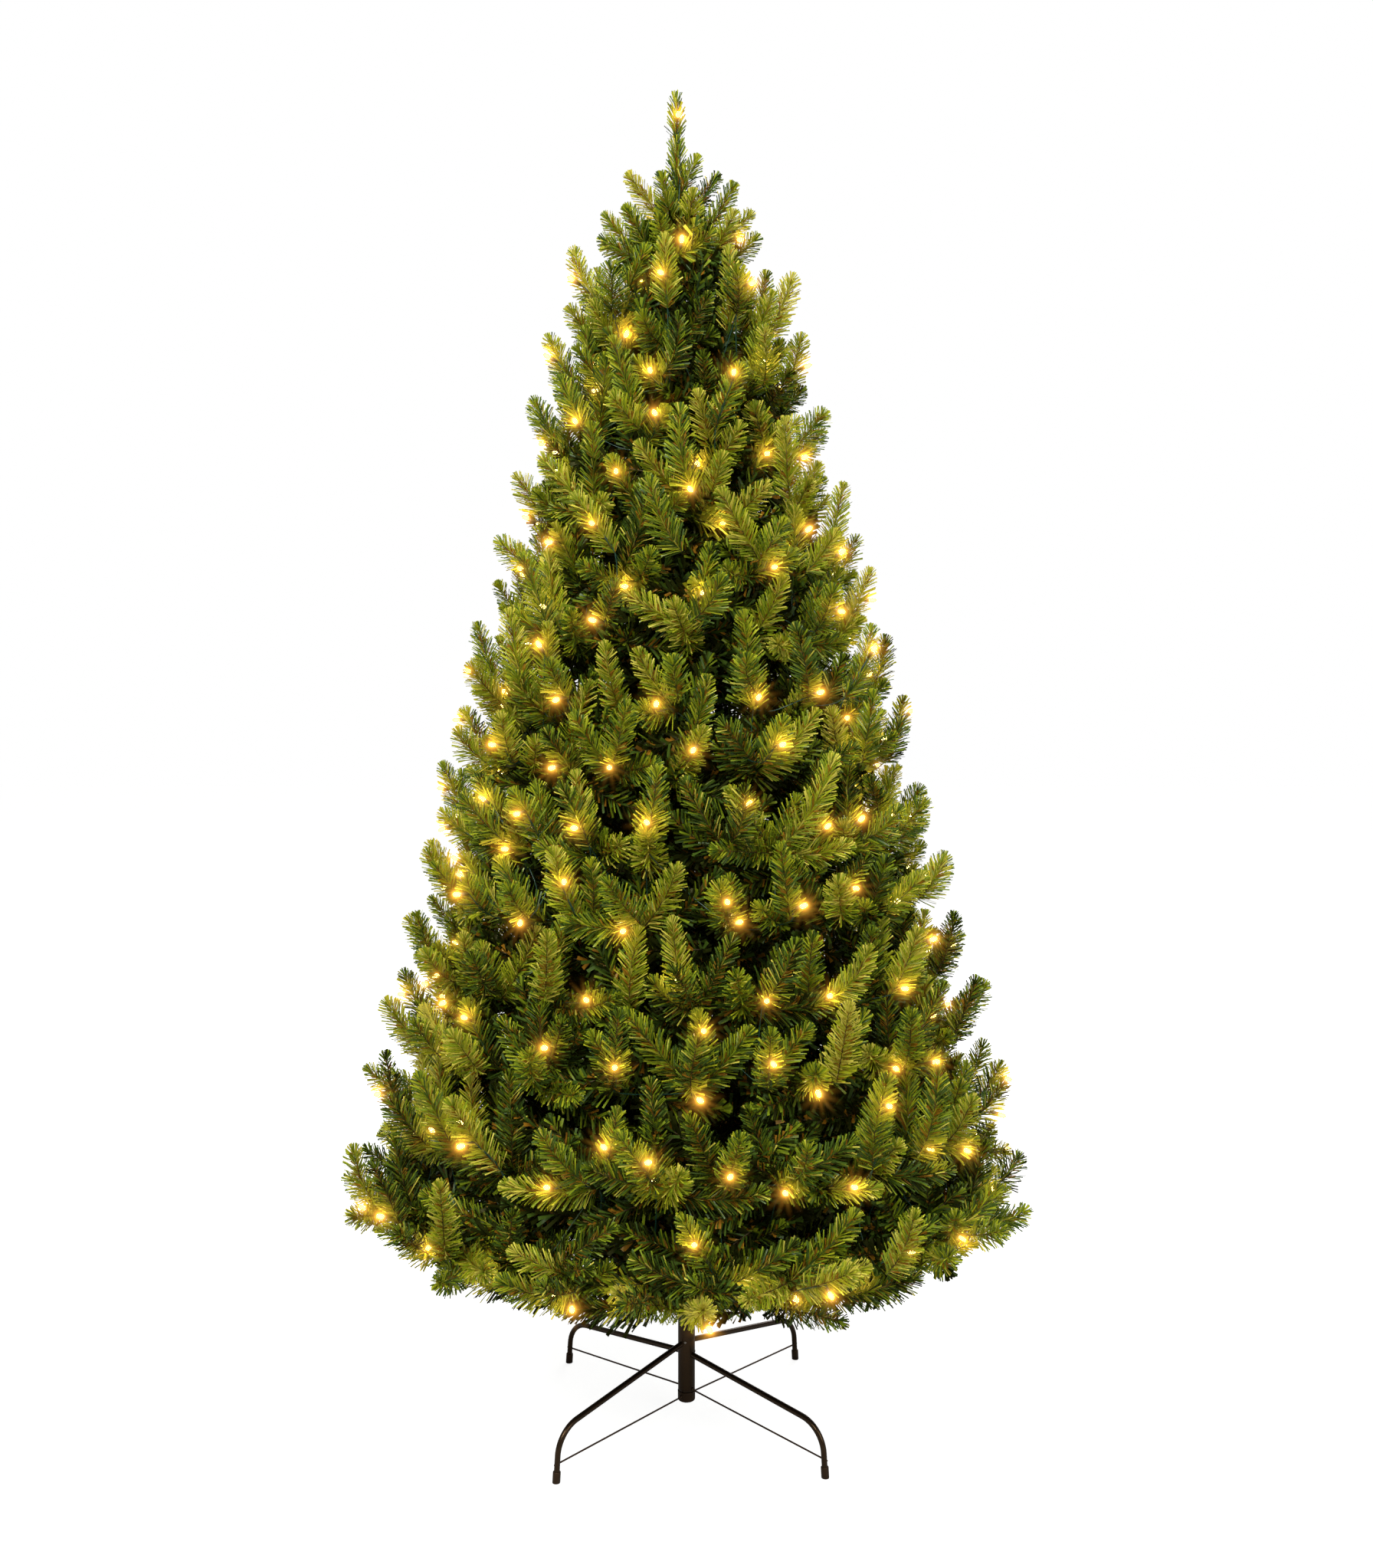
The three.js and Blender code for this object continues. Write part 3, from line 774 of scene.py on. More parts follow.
@dataclass(frozen=True)
class CrownRule:
    """The crown's outline and the lie of its boughs, by the same rule as the solids."""

    height: float
    radius: float = 0.588
    widest_z: float = 0.420
    hem_z: float = 0.305
    hem_power: float = 3.0
    taper: float = 0.262
    shoulder_z: float = 1.990
    shoulder_power: float = 1.4
    top_z: float = 2.200
    hem_attach: float = 0.283
    top_attach: float = 2.130
    hem_rise: float = 0.12
    rise_per_metre: float = 0.6
    lean: float = -0.018
    lean_from: float = 0.400
    lean_power: float = 1.3
    halvings: int = 40

    def radius_at(self, z: float) -> float:
        """Finds the outline's radius at a height."""
        if z < self.widest_z:
            drop = min(1.0, (self.widest_z - z) / (self.widest_z - self.hem_z))
            return self.radius * (1.0 - drop**self.hem_power) ** (1.0 / self.hem_power)
        straight = self.radius - self.taper * (min(z, self.shoulder_z) - self.widest_z)
        if z < self.shoulder_z:
            return straight
        rise = min(1.0, (z - self.shoulder_z) / (self.top_z - self.shoulder_z))
        return straight * (1.0 - rise**self.shoulder_power)

    def rise_at(self, attach: float) -> float:
        """Finds how steeply a bough rises, from the height at which it leaves the pole."""
        return self.hem_rise + self.rise_per_metre * (attach - self.hem_attach)

    def height_of(self, attach: float, radius: float) -> float:
        """Finds a bough's height at a radius."""
        return attach + radius * self.rise_at(attach)

    def attach_of(self, z: float, radius: float) -> float:
        """Finds where the bough through a point leaves the pole."""
        level = self.hem_rise - self.rise_per_metre * self.hem_attach
        return (z - radius * level) / (1.0 + radius * self.rise_per_metre)

    def reach_of(self, attach: float) -> float:
        """Finds the radius at which a bough comes through the outline."""
        near, far = 0.0, self.radius
        for _ in range(self.halvings):
            middle = 0.5 * (near + far)
            if self.radius_at(self.height_of(attach, middle)) > middle:
                near = middle
            else:
                far = middle
        return near

    def place(self, attach: float, radius: float, turn: float) -> Array:
        """Finds the point at a radius on the bough that leaves the pole at attach, at a turn."""
        return polar(turn, radius, self.height_of(attach, radius))

    def leaned(self, points: Array) -> Array:
        """Moves points sideways by the tree's slight lean.

        Args:
            points: An array whose last axis holds x, y and z.

        Returns:
            The moved points.
        """
        part = np.maximum(0.0, points[..., 2] - self.lean_from) / (self.height - self.lean_from)
        moved = points.copy()
        moved[..., 0] += self.lean * part**self.lean_power
        return moved

    def holds(self, point: Array, margin: float) -> bool:
        """Tells whether a point lies inside the outline by a margin."""
        return off_axis(point) <= self.radius_at(point[2]) - margin


@dataclass(frozen=True)
class Space:
    """The wedge of the crown that one mass of foliage fills."""

    rule: CrownRule
    tier: Tier
    sector: int
    bottom: float
    top: float
    first_turn: float = 0.25
    tier_turn: float = 0.382
    spray_share: float = 0.6
    longest_spray: float = 0.190
    shortest_spray: float = 0.120
    tier_seeds: int = 1000
    sector_seeds: int = 100

    @property
    def index(self) -> int:
        """The tier's place, counted from the hem."""
        return list(Tier).index(self.tier)

    @property
    def lot(self) -> Lot:
        """The lot that the mass is in."""
        return Lot.of(self.tier, self.sector)

    @property
    def middle(self) -> float:
        """The height at which the mass's bough leaves the pole."""
        return 0.5 * (self.bottom + self.top)

    @property
    def half_height(self) -> float:
        """Half the height that the mass takes on the pole."""
        return 0.5 * (self.top - self.bottom)

    @property
    def half_turn(self) -> float:
        """Half the angle that the mass takes round the pole."""
        return math.pi / self.tier.sectors

    @property
    def turn(self) -> float:
        """The direction of the mass's bough."""
        turns = self.sector + self.first_turn + self.tier_turn * self.index
        return TAU * turns / self.tier.sectors

    @property
    def seed(self) -> int:
        """The whole number that the mass's draws start from."""
        return self.tier_seeds * (self.index + 1) + self.sector_seeds * self.sector

    @property
    def spray_length(self) -> float:
        """The length of a spray, which is shorter where the crown is narrow."""
        share = self.rule.reach_of(self.middle) * self.spray_share
        return min(self.longest_spray, max(self.shortest_spray, share))

    @property
    def outline_height(self) -> float:
        """The height of the mass at the outline."""
        reach = self.rule.reach_of(self.middle)
        return self.rule.height_of(self.top, reach) - self.rule.height_of(self.bottom, reach)


@dataclass(frozen=True)
class Spray:
    """One spray of the solids' rule: the line from root to end, which a fan of tips takes."""

    space: Space
    root: Array
    end: Array


@dataclass(frozen=True)
class SprayRule:
    """How the sprays of a mass are laid out, by the same rule as the solids."""

    cell_width: float = 0.122
    cell_height: float = 0.128
    needle_reach: float = 0.3
    space_margin: float = 0.0025
    wander: float = 0.1
    shortest_reach: float = 0.94
    root_depth: float = 1.25
    root_spread: float = 0.5
    axis_clearance: float = 0.0305
    row_seeds: int = 20

    def spaces(self, rule: CrownRule) -> Iterator[Space]:
        """Lists the spaces of all the masses, from the hem up."""
        bottom = rule.hem_attach
        for tier in Tier:
            top = rule.attach_of(tier.outline_top, rule.radius_at(tier.outline_top))
            top = rule.top_attach if tier is Tier.CROWN else top
            for sector in range(tier.sectors):
                yield Space(rule, tier, sector, bottom, top)
            bottom = top

    def standing(self, index: int, count: int, size: float, reach: float) -> float:
        """Finds where one of several sprays stands across a mass.

        Args:
            index: Which spray, from 0.
            count: How many there are.
            size: The size of the mass that way.
            reach: How far a spray's needles reach from its own line.

        Returns:
            The place, from -1 to 1.
        """
        if count == 1:
            return 0.0
        return (1.0 - 2.0 * reach / size) * (2.0 * index / (count - 1) - 1.0)

    def sprays(self, space: Space) -> Iterator[Spray]:
        """Lays the sprays of one mass, row by row."""
        rule = space.rule
        rows = max(1, round(space.outline_height / self.cell_height))
        for row in range(rows):
            level = space.bottom + (space.top - space.bottom) * (row + 0.5) / rows
            columns = max(1, round(2.0 * space.half_turn * rule.reach_of(level) / self.cell_width))
            for column in range(columns):
                draw = SeededDraw(space.seed + self.row_seeds * row + column)
                clear = space.spray_length * self.needle_reach + 2.0 * self.space_margin
                up = self.standing(row, rows, space.outline_height, clear)
                up += (draw.next() - 0.5) * self.wander
                attach = space.middle + up * space.half_height
                outline = rule.reach_of(attach)
                width = 2.0 * outline * math.sin(space.half_turn)
                aside = self.standing(column, columns, width, clear)
                aside += (draw.next() - 0.5) * self.wander
                farthest = 1.0 - self.shortest_reach
                tip_radius = outline * (self.shortest_reach + farthest * draw.next())
                inner_radius = tip_radius - self.root_depth * space.spray_length
                spread = 0.0 if space.tier is Tier.CROWN else self.root_spread
                root = rule.place(
                    space.middle + up * space.half_height * spread,
                    max(self.axis_clearance, inner_radius),
                    space.turn + aside * space.half_turn * spread,
                )
                end = rule.place(attach, tip_radius, space.turn + aside * space.half_turn)
                yield Spray(space, root, end)


@dataclass(frozen=True)
class Tip:
    """One needle tip: its lot, its bent stem, its needles and its colour."""

    lot: Lot
    start: Array
    middle: Array
    end: Array
    needle: float
    count: int
    tint: Tint
    seed: int
    outer: bool = True
    half_width: float = NEEDLE_HALF_WIDTH

    def points(self, along: Array) -> Array:
        """Finds points on the stem."""
        return bend(self.start, self.middle, self.end, along)

    def directions(self, along: Array) -> Array:
        """Finds the stem's direction at places along it."""
        return bend_direction(self.start, self.middle, self.end, along)


@dataclass(frozen=True)
class Needles:
    """The needles of one tip: their corners, the places of their roots, and which are brown."""

    corners: Array
    along: Array
    brown: Array

    def kept(self, keep: Array) -> "Needles":
        """Gives the needles that are kept."""
        return Needles(self.corners[keep], self.along[keep], self.brown[keep])

    def distances(self, places: Array) -> Array:
        """Finds how near each needle comes to the nearest of some places."""
        root = self.corners[:, :2].mean(axis=1)[:, None]
        span = self.corners[:, 2:].mean(axis=1)[:, None] - root
        share = ((places[None] - root) * span).sum(axis=2) / (span**2).sum(axis=2)
        nearest = root + span * np.clip(share, 0.0, 1.0)[..., None]
        return np.linalg.norm(nearest - places[None], axis=2).min(axis=1)


@dataclass(frozen=True)
class Brush:
    """How needles stand round a stem: flat strips swept forward, closing to a brush at the end."""

    base_sweep: float = math.radians(58.0)
    end_sweep: float = math.radians(42.0)
    stem_radius: float = 1.1 * MM
    sweep_spread: float = 0.08
    tuft_share: float = 0.09
    tuft_sweep: Pair = (math.radians(3.0), math.radians(36.0))
    turn_spread: float = 0.25
    length_places: tuple[float, ...] = (0.0, 0.15, 0.5, 0.8, 1.0)
    lengths: tuple[float, ...] = (0.85, 1.0, 0.97, 0.80, 0.52)
    length_spread: float = 0.08
    root_share: float = 0.7
    twist: float = 0.7
    brown_share: float = 0.23
    brown_length: float = 0.5

    def needles(self, tip: Tip) -> Needles:
        """Makes the needles of one tip.

        Args:
            tip: The tip.

        Returns:
            The needles, root first.
        """
        draw = np.random.default_rng(tip.seed)
        count = tip.count
        place = (np.arange(count) + draw.random(count)) / (count * (1.0 - self.tuft_share))
        along = np.minimum(1.0, place)
        tuft = place >= 1.0
        forward = tip.directions(along)
        side, up = across(forward)
        turn = GOLDEN_ANGLE * np.arange(count) + draw.normal(0.0, self.turn_spread, count)
        outward = side * np.cos(turn)[:, None] + up * np.sin(turn)[:, None]
        sweep = self.base_sweep + (self.end_sweep - self.base_sweep) * along
        sweep = sweep + draw.normal(0.0, self.sweep_spread, count)
        sweep = np.where(tuft, draw.uniform(*self.tuft_sweep, count), sweep)
        profile = np.interp(along, self.length_places, self.lengths)
        uneven = 1.0 + self.length_spread * draw.uniform(-1.0, 1.0, count)
        length = tip.needle * profile * uneven
        brown = (draw.random(count) < self.brown_share) & ~tuft
        length = np.where(brown, length * self.brown_length, length)
        way = forward * np.cos(sweep)[:, None] + outward * np.sin(sweep)[:, None]
        flat = np.cross(forward, outward)
        lift = np.cross(way, flat)
        roll = draw.uniform(-0.5 * math.pi, 0.5 * math.pi, count)
        turned = roll + draw.normal(0.0, self.twist, count)
        root = tip.points(along) + outward * self.stem_radius
        end = root + way * length[:, None]
        root_edge = flat * np.cos(roll)[:, None] + lift * np.sin(roll)[:, None]
        end_edge = flat * np.cos(turned)[:, None] + lift * np.sin(turned)[:, None]
        root_edge *= tip.half_width * self.root_share
        end_edge *= tip.half_width
        corners = [root - root_edge, root + root_edge, end + end_edge, end - end_edge]
        return Needles(np.stack(corners, axis=1), along, brown)


@dataclass(frozen=True)
class Bulb:
    """A light: the foot of its lens, the way it points, and the hub that its wire comes from."""

    tier: Tier
    foot: Array
    aim: Array
    hub: Array


@dataclass(frozen=True)
class Fan:
    """A hub that tips spread from: the lot it belongs to, its place and its way out."""

    lot: Lot
    hub: Array
    forward: Array


@dataclass(frozen=True)
class Layer:
    """One layer of the fans' tips: where they start and end, how they lie and how they are clothed.

    Back is how far behind the hub they start. Margins are how far inside the outline they may end,
    and deepest the farthest. Turns are degrees from straight up the crown's skin, to either side,
    and tilts are degrees out of it. Spacing is the least distance between the marked places of two
    tips, and spacing_grows what it gains with the crown's radius.
    """

    back: float
    margins: Pair
    deepest: float
    turns: Pair
    tilts: Pair
    spacing: float
    rounds: int
    needles: int
    marks: tuple[float, ...] = (1.0,)
    spacing_grows: float = 0.0
    half_width: float = NEEDLE_HALF_WIDTH
    outer: bool = True


# Each row starts with back, margins, deepest, turns and tilts. The last one or two of a table are
# the tips inside, painted deep green as shade, with fewer and wider needles.
HEM_LAYERS = (
    Layer(-0.030, (-0.014, 0.0), 0.003, (40, 95), (45, 78), spacing=0.095, rounds=10, needles=375),
    Layer(
        0.0, (0.008, 0.055), 0.15, (64, 93), (0, 50),
        spacing=0.034, rounds=20, needles=355, marks=(0.5, 0.75, 1.0),
    ),
    Layer(
        0.06, (0.05, 0.10), 0.24, (70, 93), (-20, 30), half_width=1.7 * MM, outer=False,
        spacing=0.042, rounds=14, needles=190, marks=(0.4, 0.7, 1.0),
    ),
    Layer(
        0.13, (0.10, 0.16), 0.34, (70, 93), (-20, 30), half_width=2.0 * MM, outer=False,
        spacing=0.046, rounds=12, needles=150, marks=(0.4, 0.7, 1.0),
    ),
)
LAYERS = (
    Layer(-0.034, (-0.022, -0.002), 0.0, (0, 45), (16, 58), spacing=0.094, rounds=10, needles=375),
    Layer(
        0.040, (0.0, 0.014), 0.03, (0, 80), (40, 72),
        spacing=0.045, spacing_grows=0.100, rounds=12, needles=370,
    ),
    Layer(
        0.0, (0.018, 0.046), 0.090, (0, 100), (4, 36),
        spacing=0.042, rounds=40, needles=375, marks=(0.5, 0.7, 0.85, 1.0),
    ),
    Layer(
        0.030, (0.055, 0.085), 0.140, (0, 115), (-20, 25), half_width=1.9 * MM, outer=False,
        spacing=0.038, rounds=28, needles=165, marks=(0.3, 0.65, 1.0),
    ),
)


@dataclass
class Crown:
    """Wire boughs, twigs, needle tips and lights, grown by the rule of the solids.

    The rows of whorl are the steep tips round the top of the pole: turn, radius, height and slope.
    Those of cores are the tips in the crown's heart, painted dark as shade: lowest, highest and
    number.
    The shares deal the outer tints at the hem, and rise evenly from rise_from over a height of
    rise_over.
    Their darker mix near the hem is partly painted shade, and the lighter mix above partly painted
    light.
    """

    rule: CrownRule
    layout: SprayRule = field(default_factory=SprayRule)
    hub_depth: float = 0.080
    hub_clearance: float = 0.03
    tuft_length: float = 0.015
    needle_length: float = 0.0315
    needle_spread: Pair = (0.92, 1.08)
    hem_layer_seed: int = 11
    layer_seed: int = 1
    far_away: float = 9.0
    whorl_seed: int = 9
    whorl_drop: float = 1.5
    whorl: tuple[tuple[int, float, float, int], ...] = (
        (-30, 0.040, 2.170, 66),
        (20, 0.077, 2.159, 60),
        (200, 0.090, 2.137, 50),
        (105, 0.066, 2.140, 62),
        (250, 0.078, 2.122, 60),
        (-25, 0.110, 2.115, 50),
        (150, 0.104, 2.112, 54),
        (62, 0.106, 2.106, 54),
        (8, 0.131, 2.091, 48),
        (285, 0.104, 2.084, 56),
        (186, 0.128, 2.076, 46),
        (112, 0.124, 2.074, 50),
        (226, 0.124, 2.062, 50),
        (320, 0.126, 2.056, 50),
        (42, 0.134, 2.052, 48),
    )
    hem_hubs: int = 56
    hem_hub_heights: Pair = (0.354, 0.448)
    hem_hub_depths: Pair = (0.05, 0.17)
    height_stride: float = 0.618
    depth_stride: float = 0.382
    hem_below: float = 0.47
    hem_share: float = 0.7
    hem_turns: Pair = (60.0, 97.0)
    tip_length: Pair = (0.106, 0.150)
    shortest_tip: float = 0.062
    full_length: float = 0.132
    side_margin: float = 0.038
    twig_needles: int = 80
    bough_needles: int = 200
    shade_share: float = 0.7
    core_needles: int = 90
    core_half_width: float = 3.0 * MM
    wire_needles: int = 36
    core_margin: float = 0.05
    core_seed: int = 23
    core_shares: tuple[float, ...] = (0.26, 0.44, 0.60, 0.76)
    cores: tuple[tuple[float, float, int], ...] = (
        (0.44, 1.96, 600),
        (0.36, 0.56, 120),
        (0.335, 0.42, 110),
        (1.86, 2.06, 30),
    )
    core_climb: Pair = (-0.4, 0.9)
    level_climb: Pair = (-0.05, 0.25)
    core_spread: float = 0.25
    core_wander: Triple = (1.0, 1.0, 0.4)
    lift: float = 0.10
    sag_spread: float = 0.06
    bough_radii: Pair = (2.8 * MM, 1.8 * MM)
    twig_radii: Pair = (1.8 * MM, 1.3 * MM)
    stem_radii: Pair = (1.2 * MM, 0.8 * MM)
    bough_start: float = 0.018
    bough_share: float = 0.62
    fork_share: float = 0.55
    fork_pull: float = 0.35
    twig_dip: float = 0.02
    gap_seed: int = 41
    gap_places: int = 1400
    gap_needles: int = 280
    gap_marks: tuple[float, ...] = (0.3, 0.65, 1.0)
    gap_wander: Triple = (0.6, 0.6, 0.2)
    gap_lowest: float = 0.362
    gap_highest: float = 2.165
    gap_depth: Pair = (0.03, 0.06)
    widest_gap: float = 0.058
    outer_tints: tuple[Tint, ...] = (Tint.DEEP, Tint.MID, Tint.FRESH, Tint.PALE)
    # Darker tints near the hem are partly painted shade, and the rise of lighter ones partly
    # painted light.
    hem_shares: tuple[float, ...] = (0.38, 0.42, 0.14, 0.02)
    share_rises: tuple[float, ...] = (-0.24, 0.0, 0.22, 0.02)
    rise_from: float = 0.3
    rise_over: float = 0.9
    light_seed: int = 58
    light_gap: float = 0.086
    light_along: Pair = (0.05, 0.95)
    light_offset: Pair = (0.014, 0.022)
    light_rise: float = 0.25
    light_forward: float = 0.55
    away_spread: float = 0.25
    aim_spread: float = 0.2
    boughs: list[Strand] = field(default_factory=list)
    twigs: list[Strand] = field(default_factory=list)
    fans: list[Fan] = field(default_factory=list)
    tips: list[Tip] = field(default_factory=list)
    bulbs: list[Bulb] = field(default_factory=list)

    def grow(self) -> None:
        """Grows every mass from the hem up, fills the gaps between them and hangs the lights."""
        for space in self.layout.spaces(self.rule):
            draw = np.random.default_rng(space.seed)
            bough = self.grow_bough(space, draw)
            for spray in self.layout.sprays(space):
                self.grow_fan(spray, bough, draw)
        self.grow_whorl()
        hem = [*self.hem_fans(), *(fan for fan in self.fans if fan.hub[2] < self.hem_below)]
        tables = ((HEM_LAYERS, hem, self.hem_layer_seed), (LAYERS, self.fans, self.layer_seed))
        for layers, fans, seed in tables:
            for index, layer in enumerate(layers):
                self.grow_layer(layer, fans, np.random.default_rng(index + seed))
        self.fill_core()
        laid = len(self.tips)
        self.fill_gaps()
        self.hang_lights()
        log.info("%d fans, %d tips and %d in gaps", len(self.fans), laid, len(self.tips) - laid)
        log.info("%d lights", len(self.bulbs))

    def grow_bough(self, space: Space, draw: Draw) -> Array:
        """Grows the one bough of a mass, straight out of the pole, with needles along it.

        Args:
            space: The mass's space.
            draw: The mass's random draws.

        Returns:
            The bough's path.
        """
        reach = self.rule.reach_of(space.middle) * self.bough_share
        radii = np.linspace(self.bough_start, max(reach, 2.0 * self.bough_start), 8)
        path = np.array([self.rule.place(space.middle, radius, space.turn) for radius in radii])
        self.boughs.append(even_strand(path, *self.bough_radii))
        halfway = 0.5 * (path[1] + path[-1])
        self.clothe(space.lot, path[1], halfway, path[-1], self.bough_needles, draw)
        return path

    def clothe(
        self, lot: Lot, start: Array, middle: Array, end: Array, count: int, draw: Draw
    ) -> None:
        """Sets needles along a bough or a twig, painted dark as shade.

        Args:
            lot: The lot it belongs to.
            start: Where they start.
            middle: The point that bends the line.
            end: Where they end.
            count: Their number.
            draw: The random draws.
        """
        seed = int(draw.integers(2**31))
        tint = Tint.SHADE if draw.random() < self.shade_share else Tint.DEEP
        needles = (self.needle_length, count, tint, seed, False, self.core_half_width)
        self.tips.append(Tip(lot, start, middle, end, *needles))

    def add_twig(
        self, start: Array, middle: Array, end: Array, radii: Pair, count: int = 5
    ) -> None:
        """Adds a twig from start to end that middle pulls, with its radii at both ends."""
        path = bend(start, middle, end, np.linspace(0.0, 1.0, count))
        self.twigs.append(even_strand(path, *radii))

    def grow_fan(self, spray: Spray, bough: Array, draw: Draw) -> None:
        """Grows a twig from the bough to the hub of a fan.

        Args:
            spray: Where the rule lays the spray.
            bough: The path of the bough that carries it.
            draw: The mass's random draws.
        """
        forward = unit(spray.end - spray.root)
        inward = off_axis(spray.end) - self.hub_clearance
        hub = spray.end - forward * min(self.hub_depth, inward / off_axis(forward))
        reach = self.fork_share * off_axis(hub)
        joint = int(np.searchsorted(np.hypot(bough[:, 0], bough[:, 1]), reach))
        fork = bough[min(len(bough) - 1, joint)]
        halfway = 0.5 * (fork + hub)
        middle = halfway + self.fork_pull * (spray.root - halfway)
        self.add_twig(fork, middle, hub, self.twig_radii, 7)
        lot = spray.space.lot
        self.fans.append(Fan(lot, hub, forward))
        self.clothe(lot, fork, middle, hub, self.twig_needles, draw)

    def add_tip(
        self,
        lot: Lot,
        start: Array,
        end: Array,
        tint: Tint,
        needles: int,
        draw: Draw,
        outer: bool = True,
        half_width: float = NEEDLE_HALF_WIDTH,
    ) -> Tip:
        """Adds a tip that lifts a little towards its end.

        Args:
            lot: The lot it belongs to.
            start: Where its stem starts.
            end: Where its stem ends.
            tint: Its colour.
            needles: How many it has if it is of full length.
            draw: The random draws.
            outer: Whether it shows from outside.
            half_width: Half the width of a needle.

        Returns:
            The tip.
        """
        length = float(np.linalg.norm(end - start))
        sag = UP * (-self.lift * length) + draw.normal(0.0, self.sag_spread * length, 3)
        needle = self.needle_length * draw.uniform(*self.needle_spread)
        count = int(needles * length / self.full_length)
        seed = int(draw.integers(2**31))
        middle = 0.5 * (start + end) + sag
        tip = Tip(lot, start, middle, end, needle, count, tint, seed, outer, half_width)
        self.tips.append(tip)
        return tip

    def hem_fans(self) -> Iterator[Fan]:
        """Sets low hubs close behind the hem, each on a finer twig from the nearest fan's hub."""
        low, high = self.hem_hub_heights
        near, far = self.hem_hub_depths
        for index in range(self.hem_hubs):
            turn = GOLDEN_ANGLE * index
            z = low + (high - low) * (index * self.height_stride % 1.0)
            depth = (far - near) * (index * self.depth_stride % 1.0)
            hub = polar(turn, self.rule.radius_at(z) - near - depth, z)
            out = polar(turn)
            carrier = self.nearest_fan(hub)
            middle = 0.5 * (carrier.hub + hub) - out * self.twig_dip
            self.add_twig(carrier.hub, middle, hub, self.stem_radii)
            yield Fan(carrier.lot, hub, unit(out + UP * self.rule.hem_rise))

    def grow_whorl(self) -> None:
        """Grows the steep tips round the top of the pole."""
        draw = np.random.default_rng(self.whorl_seed)
        for turn, radius, z, slope in self.whorl:
            out = polar(math.radians(turn))
            way = out * math.cos(math.radians(slope)) + UP * math.sin(math.radians(slope))
            end = out * radius + UP * z - way * self.tuft_length
            start = end - way * draw.uniform(*self.tip_length)
            root = UP * (start[2] - self.whorl_drop * float(start @ out))
            self.twigs.append(even_strand(np.linspace(root, start, 3), *self.stem_radii))
            tint = self.outer_tint(end, draw)
            self.add_tip(Lot(Tier.CROWN), start, end, tint, LAYERS[0].needles, draw)

    def grow_layer(self, layer: Layer, fans: Sequence[Fan], draw: Draw) -> None:
        """Grows one layer: each fan in turn offers a tip, which is kept where it has room.

        Args:
            layer: The layer.
            fans: The fans that take part.
            draw: The layer's random draws.
        """
        spots = np.array(layer.marks)
        laid = [tip.points(spots) for tip in self.tips if tip.outer and layer.outer]
        taken = np.concatenate([np.full((1, 3), self.far_away), *laid])
        clothing = (layer.needles, draw, layer.outer, layer.half_width)
        for _ in range(layer.rounds):
            for pick in draw.permutation(len(fans)):
                ends = self.offer(fans[pick], layer, draw)
                if ends is None:
                    continue
                start, end = ends
                marks = start + (end - start) * spots[:, None]
                least = layer.spacing + layer.spacing_grows * off_axis(end)
                if np.linalg.norm(taken[:, None] - marks[None], axis=2).min() < least:
                    continue
                taken = np.concatenate([taken, marks])
                # Tips inside take deep green as painted shade.
                tint = self.outer_tint(end, draw) if layer.outer else Tint.DEEP
                self.add_tip(fans[pick].lot, start, end, tint, *clothing)

    def offer(self, fan: Fan, layer: Layer, draw: Draw) -> tuple[Array, Array] | None:
        """Offers a tip of a fan, as long as the outline lets it be.

        Args:
            fan: The fan.
            layer: The layer that it is for.
            draw: The layer's random draws.

        Returns:
            Where its stem starts and ends, or nothing where it would be too short or lie too deep.
        """
        start = fan.hub - fan.forward * layer.back
        out = outwards(start)
        skin = unit(UP - out * self.rule.taper)
        aside = np.cross(UP, out)
        level = start[2] < self.hem_below and draw.random() < self.hem_share
        turns = self.hem_turns if level else layer.turns
        turn = math.radians(draw.uniform(*turns)) * draw.choice((-1.0, 1.0))
        tilt = math.radians(draw.uniform(*layer.tilts))
        along = skin * math.cos(turn) + aside * math.sin(turn)
        direction = along * math.cos(tilt) + np.cross(aside, skin) * math.sin(tilt)
        margin = draw.uniform(*layer.margins)
        longest = draw.uniform(*self.tip_length)
        for length in np.linspace(longest, self.shortest_tip, 8):
            brush_end = start + direction * (length + self.tuft_length)
            if self.rule.holds(brush_end, margin):
                near = not self.rule.holds(brush_end, layer.deepest)
                return (start, start + direction * length) if near else None
        return None

    def outer_tint(self, hub: Array, draw: Draw) -> Tint:
        """Deals a colour to an outer tip: more deep green near the hem, more fresh green above."""
        # Painted shade and light: deeper greens near the hem, fresher greens higher up, over a
        # random mix.
        height = float(np.clip((hub[2] - self.rise_from) / self.rise_over, 0.0, 1.0))
        shares = np.array(self.hem_shares) + np.array(self.share_rises) * height
        return self.outer_tints[int(draw.choice(len(shares), p=shares / shares.sum()))]

    def outline_places(self, draw: Draw) -> Iterator[Array]:
        """Walks a spiral of evenly spread places over the crown's outline, from the hem up."""
        heights = self.even_heights(self.gap_lowest, self.gap_highest, self.gap_places)
        for index, z in enumerate(heights):
            radius = self.rule.radius_at(z) - draw.uniform(*self.gap_depth)
            yield polar(GOLDEN_ANGLE * index, radius, z)

    def even_heights(self, low: float, high: float, count: int) -> Array:
        """Spreads heights so that each stands for the same share of the crown's skin.

        Args:
            low: The lowest.
            high: The highest.
            count: How many.

        Returns:
            The heights, from the lowest up.
        """
        heights = np.linspace(low, high, 200)
        radii = np.array([self.rule.radius_at(z) for z in heights])
        bands = 0.5 * (radii[1:] + radii[:-1]) * np.hypot(np.diff(heights), np.diff(radii))
        area = np.concatenate([[0.0], np.cumsum(bands)])
        return np.interp((np.arange(count) + 0.5) / count * area[-1], area, heights)

